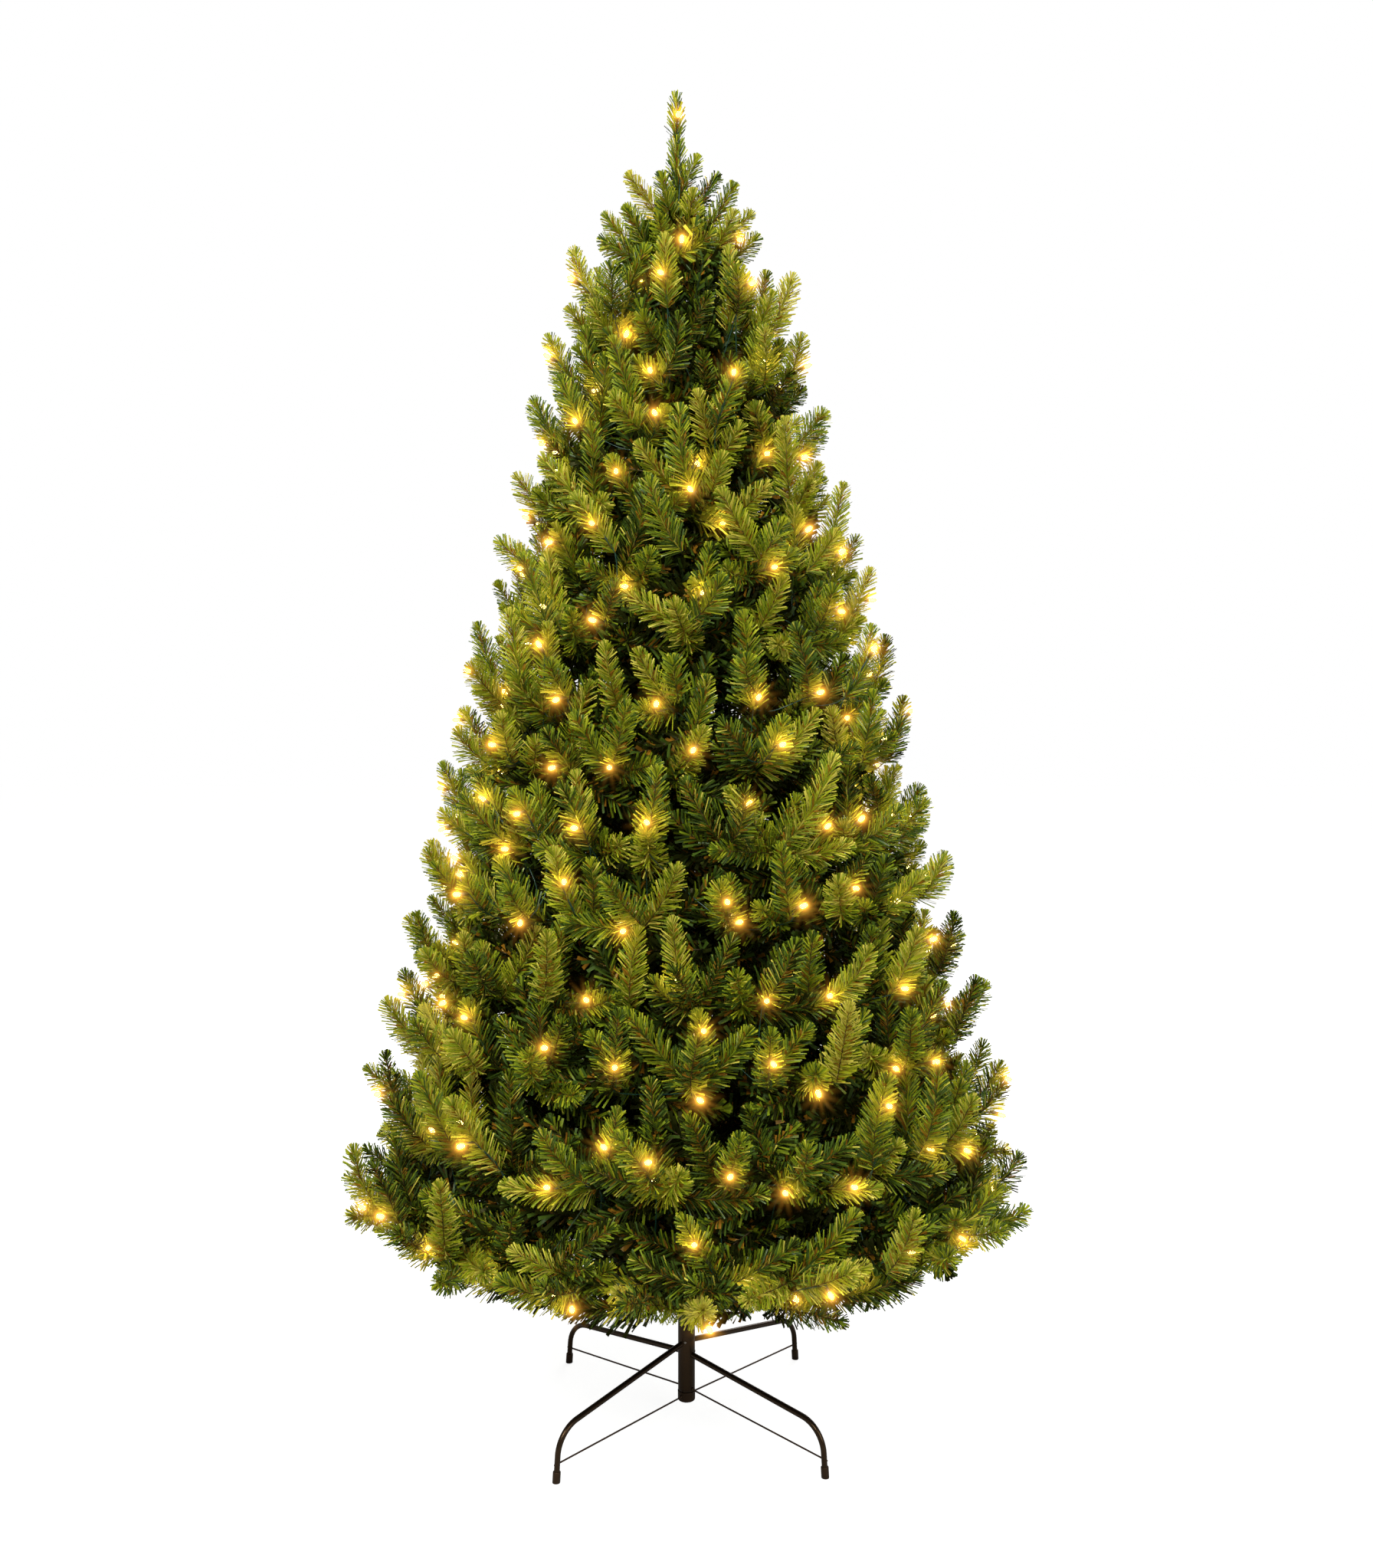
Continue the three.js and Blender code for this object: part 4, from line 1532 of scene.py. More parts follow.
    def fill_core(self) -> None:
        """Closes the crown's heart with tips painted dark as shade, on straight wires from the
        pole.
        """
        draw = np.random.default_rng(self.core_seed)
        for low, high, count in self.cores:
            for index, z in enumerate(self.even_heights(low, high, count)):
                share = self.core_shares[index % len(self.core_shares)]
                radius = max(self.hub_clearance, share * self.rule.radius_at(z))
                self.add_core(radius, z, GOLDEN_ANGLE * index, (-1.0) ** index, draw)

    def add_core(self, radius: float, z: float, turn: float, hand: float, draw: Draw) -> None:
        """Adds one tip, painted dark as shade, with its wire.

        Args:
            radius: How far from the axis it starts.
            z: The height at which it starts.
            turn: Its direction from the pole.
            hand: Which way round it points, 1 or -1.
            draw: The random draws.
        """
        place = polar(turn, radius, z)
        root = self.rule.place(self.rule.attach_of(z, radius), self.bough_start, turn)
        along = np.array([-math.sin(turn), math.cos(turn), 0.0]) * hand
        climb = UP * draw.uniform(*(self.level_climb if z < self.hem_below else self.core_climb))
        way = unit(along + climb + draw.normal(0.0, self.core_spread, 3) * self.core_wander)
        end = place + way * draw.uniform(*self.tip_length)
        lot = self.nearest_fan(place).lot
        self.twigs.append(even_strand(np.linspace(root, place, 4), *self.twig_radii))
        self.clothe(lot, root, 0.5 * (root + place), place, self.wire_needles, draw)
        if self.rule.holds(end, self.core_margin):
            clothing = (self.core_needles, draw, False, self.core_half_width)
            self.add_tip(lot, place, end, Tint.SHADE, *clothing)

    def nearest_fan(self, place: Array) -> Fan:
        """Finds the fan whose hub is nearest to a place."""
        hubs = np.array([fan.hub for fan in self.fans])
        return self.fans[int(np.argmin(np.linalg.norm(hubs - place, axis=1)))]

    def fill_gaps(self) -> None:
        """Adds a tip on a finer twig wherever the outline still shows a gap between fans."""
        draw = np.random.default_rng(self.gap_seed)
        spots = np.array(self.gap_marks)
        taken = np.concatenate([tip.points(spots) for tip in self.tips if tip.outer])
        for place in self.outline_places(draw):
            if np.linalg.norm(taken - place, axis=1).min() < self.widest_gap:
                continue
            fan = self.nearest_fan(place)
            out = outwards(place)
            rise = self.rule.rise_at(self.rule.attach_of(place[2], off_axis(place)))
            way = unit(out + UP * rise + draw.normal(0.0, 1.0, 3) * self.gap_wander)
            end = place - way * self.tuft_length
            start = end - way * draw.uniform(*self.tip_length)
            if not self.rule.holds(start, self.side_margin):
                continue
            middle = 0.5 * (fan.hub + start) - out * self.twig_dip
            self.add_twig(fan.hub, middle, start, self.stem_radii)
            tint = self.outer_tint(place, draw)
            tip = self.add_tip(fan.lot, start, end, tint, self.gap_needles, draw)
            taken = np.concatenate([taken, tip.points(spots)])

    def hang_lights(self) -> None:
        """Clips lights on the tips, evenly spread, some in front of a tip, some deep in its fan."""
        draw = np.random.default_rng(self.light_seed)
        outer = [tip for tip in self.tips if tip.outer]
        feet = np.empty((0, 3))
        for pick in draw.permutation(len(outer)):
            tip = outer[pick]
            along = np.array([draw.uniform(*self.light_along)])
            place = tip.points(along)[0]
            forward = tip.directions(along)[0]
            out = unit(np.array([place[0], place[1], self.light_rise * off_axis(place)]))
            away = out + draw.normal(0.0, self.away_spread, 3)
            away = unit(away - forward * float(away @ forward))
            foot = place + away * draw.uniform(*self.light_offset)
            aim = unit(forward * self.light_forward + away + draw.normal(0.0, self.aim_spread, 3))
            if len(feet) and np.linalg.norm(feet - foot, axis=1).min() < self.light_gap:
                continue
            feet = np.concatenate([feet, foot[None]])
            self.bulbs.append(Bulb(tip.lot.tier, foot, aim, tip.start))


@dataclass
class Leader:
    """The thin leader: three short brushes, one over the other, straight up over the pole.

    Each step gives how far below the top a brush starts and ends, its needle length and its colour.
    """

    rule: CrownRule
    bottom_z: float
    steps: tuple[tuple[float, float, float, Tint], ...] = (
        (0.208, 0.150, 0.030, Tint.DEEP),
        (0.156, 0.098, 0.029, Tint.MID),
        (0.090, 0.021, 0.025, Tint.MID),
    )
    count: int = 170
    seed: int = 77
    half_width: float = 1.1 * MM
    brush: Brush = Brush(
        math.radians(40.0),
        math.radians(27.0),
        tuft_sweep=(0.0, 0.5),
        lengths=(0.85, 1.0, 1.0, 0.95, 0.8),
    )
    bulb_drop: float = 0.051
    bulb_side: Pair = (0.003, -0.019)
    bulb_aim: Triple = (0.08, -0.95, 0.15)
    wire_drop: float = 0.12
    wire_side: Pair = (0.006, -0.003)

    def tips(self) -> list[Tip]:
        """Makes the leader's brushes."""
        made = []
        for index, (low, high, needle, tint) in enumerate(self.steps):
            start = UP * max(self.bottom_z, self.rule.height - low)
            end = UP * (self.rule.height - high)
            stem = (start, 0.5 * (start + end), end)
            needles = (needle, self.count, tint, self.seed + index, True, self.half_width)
            made.append(Tip(Lot(Tier.CROWN), *stem, *needles))
        return made

    def bulb(self) -> Bulb:
        """Places the light near the leader's top."""
        foot = np.array([*self.bulb_side, self.rule.height - self.bulb_drop])
        hub = np.array([*self.wire_side, self.rule.height - self.wire_drop])
        return Bulb(Tier.CROWN, foot, unit(np.array(self.bulb_aim)), hub)


@dataclass
class Foliage:
    """Turns the grown crown into pieces.

    Each needle draws a chance from 0 to 1. Under darker it takes the tint below its tip's, over
    lighter the one above, and over painted_glint_chance an outer needle takes PALE as a painted
    glint.
    The root and the end of a tip have limits of their own, root_painted_shade and
    end_painted_light, which paint shade near the wire and light at the end. Needles within the
    painted gold and warm light distances of a light take its painted light and a faint glow.
    """

    crown: Crown
    leader: Leader
    palette: Palette
    tubes: TubeTree
    brush: Brush = field(default_factory=Brush)
    lens_radius: float = 3.1 * MM
    lens_length: float = 12.5 * MM
    lens_seat: float = 0.42
    husk_radius: float = 3.4 * MM
    husk_length: float = 15.0 * MM
    husk_seat: float = -0.46
    cable_radius: float = 0.85 * MM
    cable_inset: Triple = (0.93, 0.93, 1.0)
    cable_sag: float = 0.012
    near_distance: float = 0.16
    light_clearance: float = 8.5 * MM
    glow_reaches: Pair = (6.0 * MM, 17.0 * MM)
    glow_wander: Pair = (0.85, 1.25)
    gold_distance: float = 0.018
    warm_distance: float = 0.030
    root_zone: float = 0.25
    root_painted_shade: float = 0.6
    darker: float = 0.30
    end_zone: float = 0.8
    end_painted_light: float = 0.55
    lighter: float = 0.74
    painted_glint_chance: float = 0.95

    def build(self) -> None:
        """Builds the needles, the wires and the lights."""
        bulbs = [*self.crown.bulbs, self.leader.bulb()]
        places = [bulb.foot + bulb.aim * reach for bulb in bulbs for reach in self.glow_reaches]
        glows = np.array(places)
        materials = [finish.material() for finish in self.palette.needles]
        for lot in (Lot(tier, part) for tier in Tier for part in range(tier.parts)):
            tips = [tip for tip in self.crown.tips if tip.lot == lot]
            self.needle_piece(lot.name, tips, self.brush, glows, materials, lot.nodes)
        tips, brush = self.leader.tips(), self.leader.brush
        self.needle_piece("needles_leader", tips, brush, glows, materials, ["foliage_leader"])
        self.wire_pieces(tips)
        self.light_pieces(bulbs)

    def needle_piece(
        self,
        name: str,
        tips: Sequence[Tip],
        brush: Brush,
        glows: Array,
        materials: Sequence[Material],
        nodes: Sequence[str],
    ) -> None:
        """Joins the needles of some tips into one piece.

        Args:
            name: The piece's name.
            tips: The tips.
            brush: How the needles stand.
            glows: Places in the glow of every light.
            materials: The finishes, in the order of Tint.
            nodes: The solids that the piece stands for.
        """
        corners, tints = [], []
        for tip in tips:
            middle = 0.5 * (tip.start + tip.end)
            near = glows[np.linalg.norm(glows - middle, axis=1) < self.near_distance]
            needles = brush.needles(tip)
            if len(near) and tip.outer:
                needles = needles.kept(needles.distances(near) > self.light_clearance)
            corners.append(needles.corners)
            tints.append(self.tint_needles(tip, needles, near))
        points = self.crown.rule.leaned(np.concatenate(corners).reshape(-1, 3))
        count = len(points) // 4
        first = np.arange(count)[:, None] * 4
        faces = np.concatenate([first + [0, 1, 2], first + [0, 2, 3]], axis=1).reshape(-1)
        mesh = bpy.data.meshes.new(name)
        mesh.vertices.add(len(points))
        mesh.vertices.foreach_set("co", points.astype(np.float32).ravel())
        mesh.loops.add(len(faces))
        mesh.loops.foreach_set("vertex_index", faces.astype(np.int32))
        mesh.polygons.add(2 * count)
        mesh.polygons.foreach_set("loop_start", np.arange(0, 6 * count, 3, dtype=np.int32))
        indices = np.repeat(np.concatenate(tints), 2).astype(np.int32)
        mesh.polygons.foreach_set("material_index", indices)
        for material in materials:
            mesh.materials.append(material)
        mesh.update(calc_edges=True)
        finish_piece(name, mesh, nodes)

    def tint_needles(self, tip: Tip, needles: Needles, near: Array) -> Array:
        """Picks each needle's colour: near its tip's own, or painted light close to a light.

        Args:
            tip: The tip.
            needles: Its needles.
            near: Places in the glow of the lights near it.

        Returns:
            The material number of each needle.
        """
        draw = np.random.default_rng(tip.seed + 1)
        along = needles.along
        chance = draw.random(len(along))
        # Painted shade near a tip's root and painted light near its end, over a random spread of
        # tone.
        darker = chance < np.where(along < self.root_zone, self.root_painted_shade, self.darker)
        lighter = chance > np.where(along > self.end_zone, self.end_painted_light, self.lighter)
        tints = tip.tint.value - darker.astype(int) + lighter.astype(int)
        tints = np.clip(tints, Tint.SHADE.value, Tint.PALE.value)
        # Painted glints: a few outer needles take the lightest tint.
        tints = np.where(tip.outer & (chance > self.painted_glint_chance), Tint.PALE.value, tints)
        tints = np.where(needles.brown, Tint.BROWN.value, tints)
        if len(near):
            centre = needles.corners.mean(axis=1)
            distance = np.linalg.norm(centre[:, None] - near[None], axis=2).min(axis=1)
            wander = draw.uniform(*self.glow_wander, len(distance))
            distance = distance * wander * self.crown.needle_length / tip.needle
            # Painted light: needles close to a bulb take its warm and gold light as their colour.
            tints = np.where(distance < self.warm_distance, Tint.WARM.value, tints)
            tints = np.where(distance < self.gold_distance, Tint.GOLD.value, tints)
        return tints

    def wire_pieces(self, leader: Sequence[Tip]) -> None:
        """Makes the boughs, the twigs and the stems of all tips, each kind apart."""
        stems = []
        for tip in [*self.crown.tips, *leader]:
            path = tip.points(np.linspace(0.0, 1.0, 4))
            stems.append(even_strand(path, *self.crown.stem_radii))
        bough, bark = self.palette.bough, self.palette.bark
        self.strand_piece("bough_wires", self.crown.boughs, 8, bough.material())
        self.strand_piece("twig_wires", self.crown.twigs, 5, bough.material())
        self.strand_piece("tip_stems", stems, 3, bark.material())

    def strand_piece(
        self, name: str, strands: Iterable[Strand], sides: int, material: Material
    ) -> None:
        """Makes one piece of many strands, with the tree's lean and as many sides as given."""
        leaned = [Strand(self.crown.rule.leaned(s.points), s.radii) for s in strands]
        finish_piece(name, self.tubes.tubes(leaned, sides, material))

    def light_pieces(self, bulbs: Sequence[Bulb]) -> None:
        """Makes the lenses, their husks and the wires between them."""
        feet = self.crown.rule.leaned(np.array([bulb.foot for bulb in bulbs]))
        aims = np.array([bulb.aim for bulb in bulbs])
        glowing, wire = self.palette.bulb.material(), self.palette.wire.material()
        lens, husk = (self.lens_radius, self.lens_length), (self.husk_radius, self.husk_length)
        drops, husks = SeatedTree(SeatedShape.DROP), SeatedTree(SeatedShape.HUSK)
        drops.seat("light_lenses", "bulb", feet, aims, glowing, lens, self.lens_seat * lens[1])
        husks.seat("light_husks", "wire", feet, aims, wire, husk, self.husk_seat * husk[1])
        self.strand_piece("light_cables", self.cables(bulbs), 4, wire)

    def cables(self, bulbs: Sequence[Bulb]) -> Iterator[Strand]:
        """Runs a wire from light to light round each tier, by way of the hubs of their fans."""
        for tier in Tier:
            ring = [bulb for bulb in bulbs if bulb.tier is tier]
            ring.sort(key=lambda bulb: math.atan2(bulb.hub[1], bulb.hub[0]))
            for first, last in zip(ring, ring[1:]):
                tails = [bulb.foot - bulb.aim * self.husk_length for bulb in (first, last)]
                halfway = 0.5 * (first.hub + last.hub) * self.cable_inset - UP * self.cable_sag
                path = smooth_path([tails[0], first.hub, halfway, last.hub, tails[1]], 4)
                yield even_strand(path, self.cable_radius, self.cable_radius)


@dataclass
class Pole:
    """The pole: three green steel tubes pushed into each other, with a collar for each tier."""

    rule: CrownRule
    palette: Palette
    bottom_z: float
    top_z: float
    steps: tuple[Pair, ...] = (
        (12.5 * MM, 0.820),
        (11.0 * MM, 1.500),
        (9.5 * MM, 2.078),
    )
    sides: int = 28
    row_height: float = 0.12
    swage: float = 6.0 * MM
    swage_lip: float = 0.6 * MM
    collar_size: Pair = (19.0 * MM, 16.0 * MM)
    lug_size: Pair = (4.5 * MM, 20.0 * MM)

    def build(self, spaces: Sequence[Space]) -> None:
        """Builds the tube, the collars and the lugs that carry the boughs.

        Args:
            spaces: The spaces of the masses, which say where boughs leave the pole.
        """
        rule = self.rule
        tube = lathe(self.profile(), self.sides, self.palette.pole.material())
        move_corners(tube, rule.leaned(corners_of(tube)))
        finish_piece("pole_tube", tube, ["trunk_pole"])
        plastic = self.palette.collar.material()
        rings, lugs = SeatedTree(SeatedShape.RING), SeatedTree(SeatedShape.LUG)
        heights = sorted({space.middle for space in spaces})
        seats = rule.leaned(np.array([UP * z for z in heights]))
        upright = np.tile(UP, (len(heights), 1))
        rings.seat("branch_collars", "pole", seats, upright, plastic, self.collar_size)
        roots = np.array([rule.place(s.middle, self.collar_size[0], s.turn) for s in spaces])
        aims = unit(np.array([polar(s.turn, z=rule.rise_at(s.middle)) for s in spaces]))
        lugs.seat("branch_lugs", "pole", rule.leaned(roots), aims, plastic, self.lug_size)

    def profile(self) -> Profile:
        """Draws the stepped outline: a short swaged cone where one tube goes into the next."""
        outline = [(0.0, self.bottom_z)]
        low = self.bottom_z
        for index, (radius, high) in enumerate(self.steps):
            last = index == len(self.steps) - 1
            high = self.top_z if last else high
            rows = max(2, round((high - low) / self.row_height))
            outline.extend((radius, z) for z in np.linspace(low, high - self.swage, rows))
            if not last:
                lip = radius + self.swage_lip
                outline.extend((lip, high - share * self.swage) for share in (0.5, 0.2))
            low = high
        outline.append((0.6 * self.steps[-1][0], self.top_z))
        outline.append((0.0, self.top_z))
        return outline


@dataclass(frozen=True)
class Leg:
    """One leg of the stand: its name and direction, and where it and its stay meet the socket."""

    name: str
    turn: float
    leg_z: float
    stay_z: float


@dataclass
class Stand:
    """The folding stand: a socket tube, four bent tube legs in foot caps, and four wire stays."""

    palette: Palette
    tubes: TubeTree
    turn: float = math.radians(2.0)
    foot_circle: float = 305.0 * MM
    leg_radius: float = 4.75 * MM
    splay: float = math.radians(4.5)
    corner_z: float = 80.0 * MM
    bend_radius: float = 50.0 * MM
    leg_end_z: float = 3.5 * MM
    upper_leg_z: float = 133.0 * MM
    lower_leg_z: float = 113.0 * MM
    upper_stay_z: float = 51.0 * MM
    lower_stay_z: float = 37.0 * MM
    stay_radius: float = 1.5 * MM
    stay_leg_z: float = 29.0 * MM
    foot_radius: float = 6.4 * MM
    foot_height: float = 18.0 * MM
    socket_radius: float = 14.75 * MM
    cap_radius: float = 15.2 * MM
    wall: float = 1.2 * MM
    rivet_size: Pair = (2.3 * MM, 2.07 * MM)
    rivet_turn: float = math.radians(34.0)
    rivet_lift: float = 2.0 * MM
    eyelet_size: Pair = (3.4 * MM, 5.0 * MM)
    eyelet_shift: float = 0.4 * MM

    def legs(self) -> list[Leg]:
        """Lists the four legs, the two pairs at their two heights."""
        pairs = (
            ("front_left", 225.0, self.upper_leg_z, self.lower_stay_z),
            ("front_right", 315.0, self.lower_leg_z, self.upper_stay_z),
            ("back_right", 45.0, self.upper_leg_z, self.lower_stay_z),
            ("back_left", 135.0, self.lower_leg_z, self.upper_stay_z),
        )
        return [Leg(name, math.radians(turn) + self.turn, *zs) for name, turn, *zs in pairs]

    def build(self) -> None:
        """Builds every piece of the stand."""
        paint = self.palette.stand.material()
        rubber = self.palette.rubber.material()
        stay = self.palette.stay.material()
        finish_piece("socket_tube", self.socket_mesh(paint), ["stand_socket"])
        finish_piece("end_plug", self.plug_mesh(rubber), ["stand_end_cap"])
        for leg in self.legs():
            tube = self.tubes.tubes([self.leg_strand(leg)], 20, paint)
            finish_piece(f"leg_{leg.name}", tube, [f"stand_leg_{leg.name}"])
            cap = self.foot_mesh(leg, rubber)
            finish_piece(f"foot_cap_{leg.name}", cap, [f"stand_foot_{leg.name}"])
            wire = self.tubes.tubes([self.stay_strand(leg)], 10, stay)
            finish_piece(f"stay_{leg.name}", wire, [f"stand_stay_{leg.name}"])
        self.rivet_pieces(paint)

    def in_plane(self, leg: Leg, points: Profile) -> Array:
        """Places points of a leg's upright plane, given as radius and height, in the frame."""
        return np.array([polar(leg.turn, r, z) for r, z in points])

    def splayed(self, z: float) -> float:
        """Finds how far from the axis a leg's lower end is at a height."""
        return self.foot_circle - z * math.tan(self.splay)

    def leg_plan(self, leg: Leg) -> Profile:
        """Draws a leg in its own plane: straight from the socket, round the bend, to the foot."""
        corner = np.array([self.splayed(self.corner_z), self.corner_z])
        foot = np.array([self.splayed(self.leg_end_z), self.leg_end_z])
        inner = np.array([0.0, leg.leg_z])
        arrive = unit(corner - inner)
        bend_angle = math.acos(float(arrive @ unit(foot - corner)))
        first = corner - arrive * (self.bend_radius * math.tan(0.5 * bend_angle))
        centre = first + np.array([arrive[1], -arrive[0]]) * self.bend_radius
        x, z = first - centre
        reaches = np.linspace(0.9 * self.socket_radius, 0.2, 12)
        points = [tuple(inner + arrive * reach) for reach in reaches]
        for angle in np.linspace(0.0, -bend_angle, 14):
            cos, sin = math.cos(angle), math.sin(angle)
            points.append((centre[0] + (x * cos - z * sin), centre[1] + (x * sin + z * cos)))
        points.append(tuple(foot))
        return points

    def leg_strand(self, leg: Leg) -> Strand:
        """Makes a leg's tube."""
        path = self.in_plane(leg, self.leg_plan(leg))
        return even_strand(path, self.leg_radius, self.leg_radius)

    def stay_strand(self, leg: Leg) -> Strand:
        """Makes a stay: hooked into the socket, straight to the leg, and through a hole in it."""
        at_leg = self.splayed(self.stay_leg_z)
        end = at_leg + self.leg_radius + self.stay_radius
        radii = np.linspace(0.8 * self.socket_radius, end, 14)
        path = [(r, leg.stay_z + (self.stay_leg_z - leg.stay_z) * r / at_leg) for r in radii]
        return even_strand(self.in_plane(leg, path), self.stay_radius, self.stay_radius)

    def foot_mesh(self, leg: Leg, material: Material) -> Mesh:
        """Makes a foot cap: a sleeve with a round lip, leaning with its leg, flat on the floor."""
        radius, top, corner, lip = self.foot_radius, self.foot_height, 2.0 * MM, 1.2 * MM
        profile = [(0.0, -corner), *round_corner(radius - corner, 0.0, corner, -90.0, 0.0)]
        profile.append((radius, top - 4.0 * MM))
        profile.extend(round_corner(radius - lip, top - 1.4 * MM, lip, 0.0, 90.0))
        profile.append((0.0, top - 0.2 * MM))
        mesh = lathe(profile, 24, material)
        x, y, z = corners_of(mesh).T
        out = x * math.cos(self.splay) - z * math.sin(self.splay) + self.foot_circle
        height = x * math.sin(self.splay) + z * math.cos(self.splay)
        cos, sin = math.cos(leg.turn), math.sin(leg.turn)
        placed = [out * cos - y * sin, out * sin + y * cos, np.maximum(0.0, height)]
        move_corners(mesh, np.stack(placed, axis=1))
        return mesh

    def socket_mesh(self, material: Material) -> Mesh:
        """Makes the socket tube, with a rolled lip at its top."""
        low, high = (corner.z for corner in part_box("stand_socket"))
        radius = self.socket_radius
        profile = [(0.0, low), (radius - 0.8 * MM, low), (radius, low + 0.8 * MM)]
        profile.extend((radius, z) for z in np.linspace(low + 6.0 * MM, high - 6.0 * MM, 12))
        profile.extend(round_corner(radius - 0.2 * MM, high - 1.5 * MM, 1.5 * MM, -80.0, 170.0))
        profile.extend([(radius - 2.0 * self.wall, high - 4.0 * MM), (0.0, high - 4.0 * MM)])
        return lathe(profile, 40, material)

    def plug_mesh(self, material: Material) -> Mesh:
        """Makes the plug at the socket's foot: a shallow cup with a rounded bottom and a lip."""
        low, high = (corner.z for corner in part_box("stand_end_cap"))
        radius, corner = self.cap_radius, 3.0 * MM
        profile = [(0.0, low), *round_corner(radius - corner, low + corner, corner, -90.0, 0.0)]
        profile.append((radius, high - 2.4 * MM))
        profile.extend(round_corner(radius - 0.6 * MM, high - 1.0 * MM, 0.9 * MM, -30.0, 90.0))
        profile.append((0.0, high))
        return lathe(profile, 40, material)

    def rivet_pieces(self, paint: Material) -> None:
        """Makes the pivot rivets of the legs and the eyelets that the stays hook into."""
        legs = self.legs()
        domes = SeatedTree(SeatedShape.DOME)
        plated = self.palette.rivet.material()
        kinds = (
            ("leg_rivets", self.rivet_turn, self.rivet_lift, plated, self.rivet_size, 0.0),
            ("stay_eyelets", 0.0, None, paint, self.eyelet_size, self.eyelet_shift),
        )
        for name, turn, lift, material, size, shift in kinds:
            aims = np.array([polar(leg.turn + turn) for leg in legs])
            heights = [leg.stay_z if lift is None else leg.leg_z + lift for leg in legs]
            seats = aims * self.socket_radius + np.outer(heights, UP)
            domes.seat(name, "stand", seats, aims, material, size, shift)


@dataclass(frozen=True)
class Softbox:
    """A large soft light: its name, its place, its target, its side and its power in watts."""

    name: str
    place: Triple
    target: Triple
    size: float
    power: float


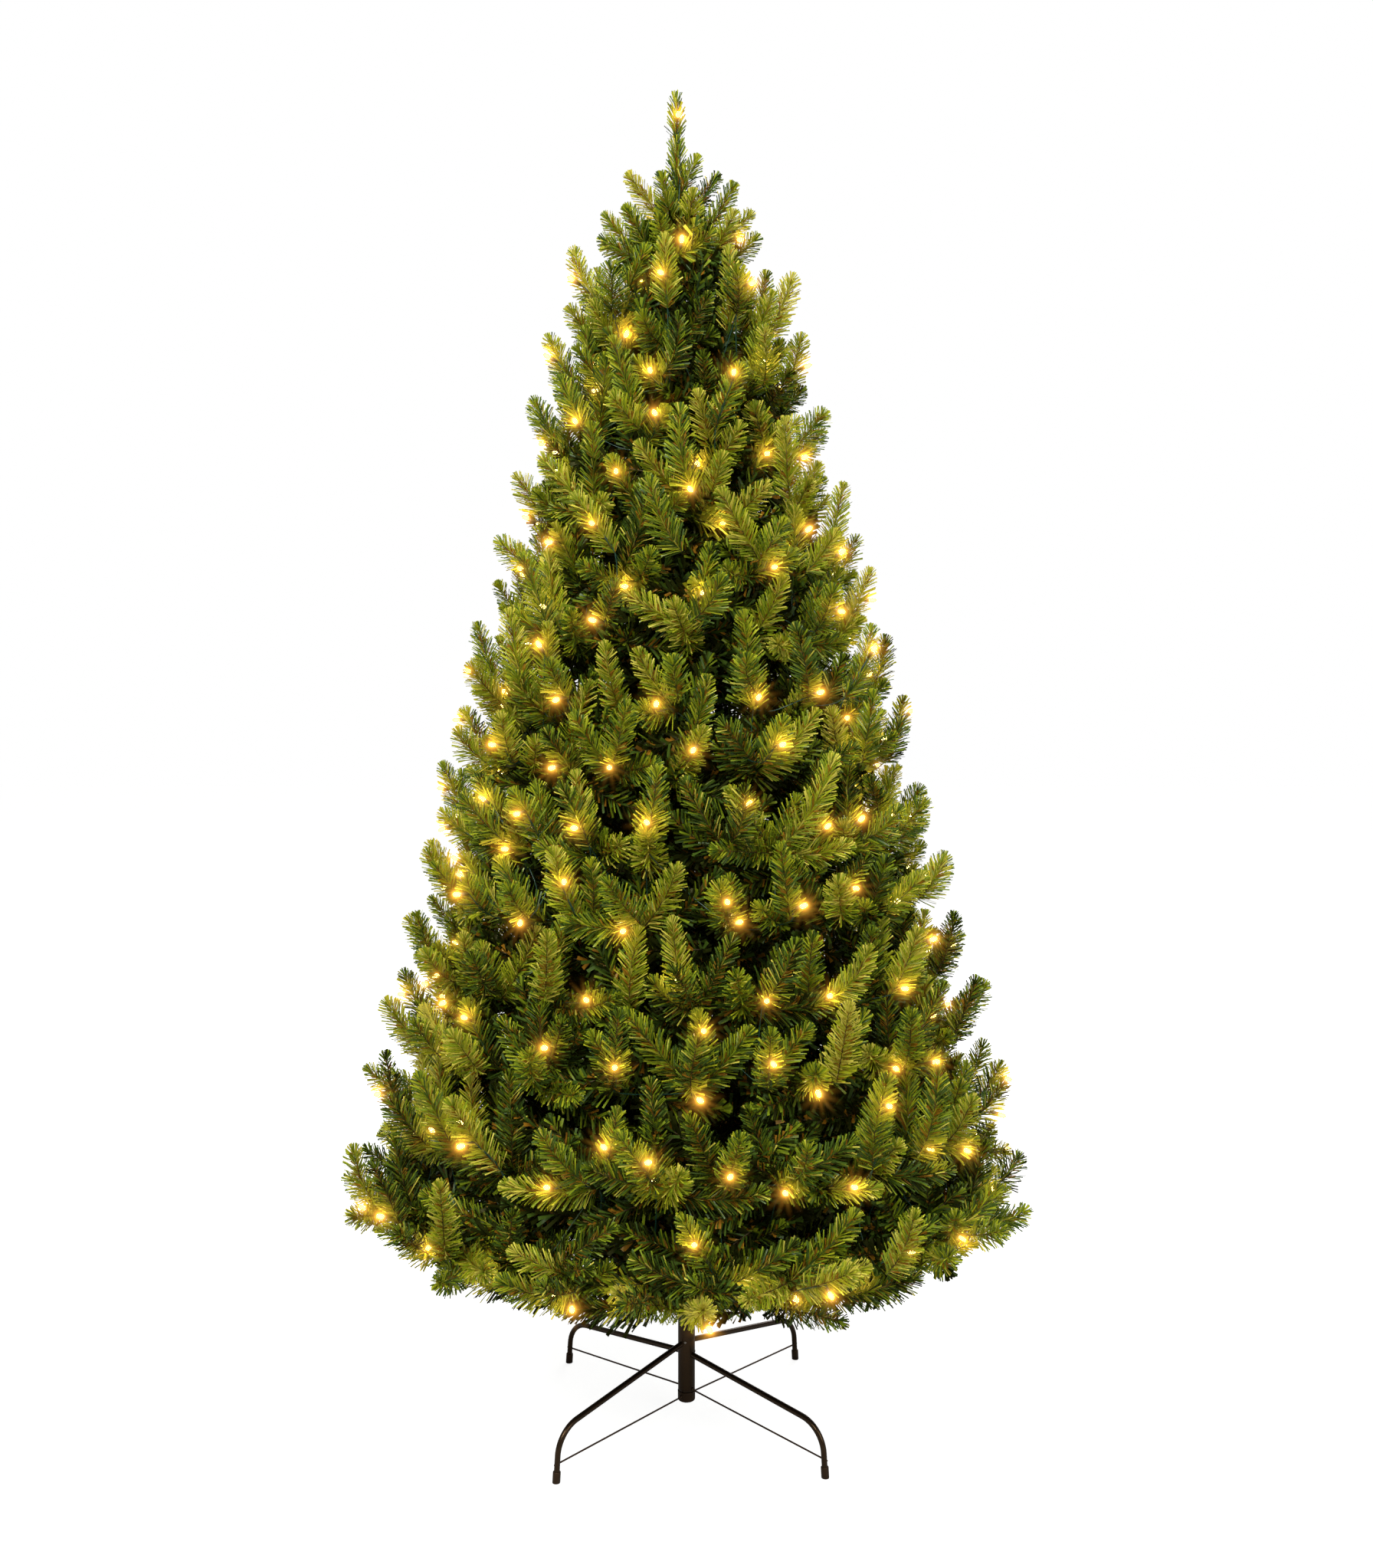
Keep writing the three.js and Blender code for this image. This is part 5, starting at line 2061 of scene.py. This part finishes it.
@dataclass
class Studio:
    """The pale floor, the soft lights, the white surround and the camera."""

    camera_place: Triple = (0.0, -2.430, 1.193)
    camera_pitch: float = 0.035
    lens: float = 32.32
    sensor: float = 36.0
    surround: float = 0.27
    floor_size: float = 60.0
    floor_colour: str = "#b8b8b6"
    floor_roughness: float = 0.9
    floor_glow: Pair = (0.05, 0.86)
    lights: tuple[Softbox, ...] = (
        Softbox("key", (-1.2, -3.5, 4.2), (0.0, 0.0, 1.3), 2.2, 252.0),
        Softbox("fill", (2.8, -3.2, 2.6), (0.0, 0.0, 1.4), 2.2, 68.0),
        Softbox("overhead", (0.0, 0.3, 5.0), (0.0, 0.0, 1.0), 3.0, 120.0),
        Softbox("back", (1.6, 4.2, 3.0), (0.0, 0.0, 1.1), 2.4, 60.0),
    )
    glare_level: float = 4.0
    glare_core: str = "#ffe06c"
    soft_core: float = 0.42

    def build(self) -> None:
        """Builds the studio."""
        self.add_camera()
        self.add_floor()
        self.add_surround()
        for light in self.lights:
            self.add_light(light)
        self.add_halo()

    def add_camera(self) -> None:
        """Puts the camera where the photograph was taken from."""
        data = bpy.data.cameras.new("camera")
        data.sensor_fit = "VERTICAL"
        data.sensor_height = self.sensor
        data.lens = self.lens
        camera = add_object("camera", data)
        camera.location = self.camera_place
        camera.rotation_euler = (0.5 * math.pi - self.camera_pitch, 0.0, 0.0)
        bpy.context.scene.camera = camera

    def seen_strength(self, tree: bpy.types.NodeTree, as_light: float, as_seen: float) -> Socket:
        """Makes a strength that is one thing as a light and another to the camera."""
        seen = add_node(tree, "ShaderNodeLightPath").outputs["Is Camera Ray"]
        levels = {"Value": seen, "To Min": as_light, "To Max": as_seen}
        return add_node(tree, "ShaderNodeMapRange", levels).outputs[0]

    def add_floor(self) -> None:
        """Lays a pale floor that stays nearly white under the tree."""
        half = 0.5 * self.floor_size
        mesh = bpy.data.meshes.new("floor")
        corners = [(-half, -half, 0.0), (half, -half, 0.0), (half, half, 0.0), (-half, half, 0.0)]
        mesh.from_pydata(corners, [], [(0, 1, 2, 3)])
        material = bpy.data.materials.new("pale_studio_floor")
        material.use_nodes = True
        tree = material.node_tree
        shading = {
            "Base Color": linear(self.floor_colour),
            "Roughness": self.floor_roughness,
            "Emission Color": linear("#ffffff"),
            "Emission Strength": self.seen_strength(tree, *self.floor_glow),
        }
        feed(tree, tree.nodes["Principled BSDF"], shading)
        mesh.materials.append(material)
        floor = add_object("floor", mesh)
        floor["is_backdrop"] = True

    def add_surround(self) -> None:
        """Surrounds the scene with white, dimmer as a light than as a background."""
        world = bpy.data.worlds.new("white_surround")
        world.use_nodes = True
        bpy.context.scene.world = world
        tree = world.node_tree
        strength = self.seen_strength(tree, self.surround, 1.0)
        white = {"Color": linear("#ffffff"), "Strength": strength}
        feed(tree, tree.nodes["Background"], white)

    def add_light(self, light: Softbox) -> None:
        """Adds one of the soft lights."""
        data = bpy.data.lights.new(light.name, "AREA")
        data.size = light.size
        data.energy = light.power
        lamp = add_object(light.name, data)
        lamp.location = light.place
        way = Vector(light.target) - lamp.location
        lamp.rotation_euler = way.to_track_quat("-Z", "Y").to_euler()

    def add_halo(self) -> None:
        """Lets the picture bloom round the lights, with a creamy core, as a camera's lens does."""
        scene = bpy.context.scene
        scene.view_settings.view_transform = "Standard"
        scene.use_nodes = True
        tree = scene.node_tree
        tree.nodes.clear()
        picture = add_node(tree, "CompositorNodeRLayers").outputs["Image"]
        bloom = {"Strength": 0.25, "Size": 0.03, "Tint": linear("#ffd37c")}
        rays = {
            "Strength": 0.26,
            "Streaks": 12,
            "Streaks Angle": math.radians(11.0),
            "Iterations": 2,
            "Fade": 0.72,
            "Color Modulation": 0.0,
            "Tint": linear("#ffc870"),
        }
        glares = []
        for kind, inputs in (("BLOOM", bloom), ("STREAKS", rays)):
            inputs |= {"Image": picture, "Threshold": self.glare_level}
            glare = add_node(tree, "CompositorNodeGlare", inputs, glare_type=kind)
            glares.append(glare.outputs["Glare"])
        brightness = add_node(tree, "CompositorNodeRGBToBW", {"Image": picture}).outputs[0]
        bright = {0: brightness, 1: self.glare_level}
        mask = add_node(tree, "CompositorNodeMath", bright, operation="GREATER_THAN").outputs[0]
        core = linear(self.glare_core)
        total = add_node(tree, "CompositorNodeMixRGB", {0: mask, 1: picture, 2: core})
        discs = add_node(tree, "CompositorNodeMixRGB", {0: mask, 1: linear("#000000"), 2: core})
        soft = add_node(
            tree,
            "CompositorNodeBlur",
            {"Image": discs.outputs[0]},
            filter_type="GAUSS",
            use_relative=True,
            aspect_correction="X",
            factor_x=self.soft_core,
            factor_y=self.soft_core,
        )
        for glare in (soft.outputs[0], *glares):
            added = {0: 1.0, 1: total.outputs[0], 2: glare}
            total = add_node(tree, "CompositorNodeMixRGB", added, blend_type="ADD")
        add_node(tree, "CompositorNodeComposite", {"Image": total.outputs[0]})


def in_metres(box: Iterable[Iterable[float]]) -> list[list[float]]:
    """Turns a box's two corners into plain lists of numbers."""
    return [[float(value) for value in corner] for corner in box]


def main() -> None:
    """Builds the studio, the stand, the pole, the crown and the lights."""
    logging.basicConfig(level=logging.INFO, format="%(message)s")
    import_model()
    solid_box = in_metres(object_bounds())
    Studio().build()
    palette = Palette()
    tubes = TubeTree()
    Stand(palette, tubes).build()
    rule = CrownRule(height=solid_box[1][2])
    low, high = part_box("trunk_pole")
    Pole(rule, palette, low.z, high.z).build(list(SprayRule().spaces(rule)))
    crown = Crown(rule)
    crown.grow()
    Foliage(crown, Leader(rule, high.z), palette, tubes).build()


if __name__ == "__main__":
    main()
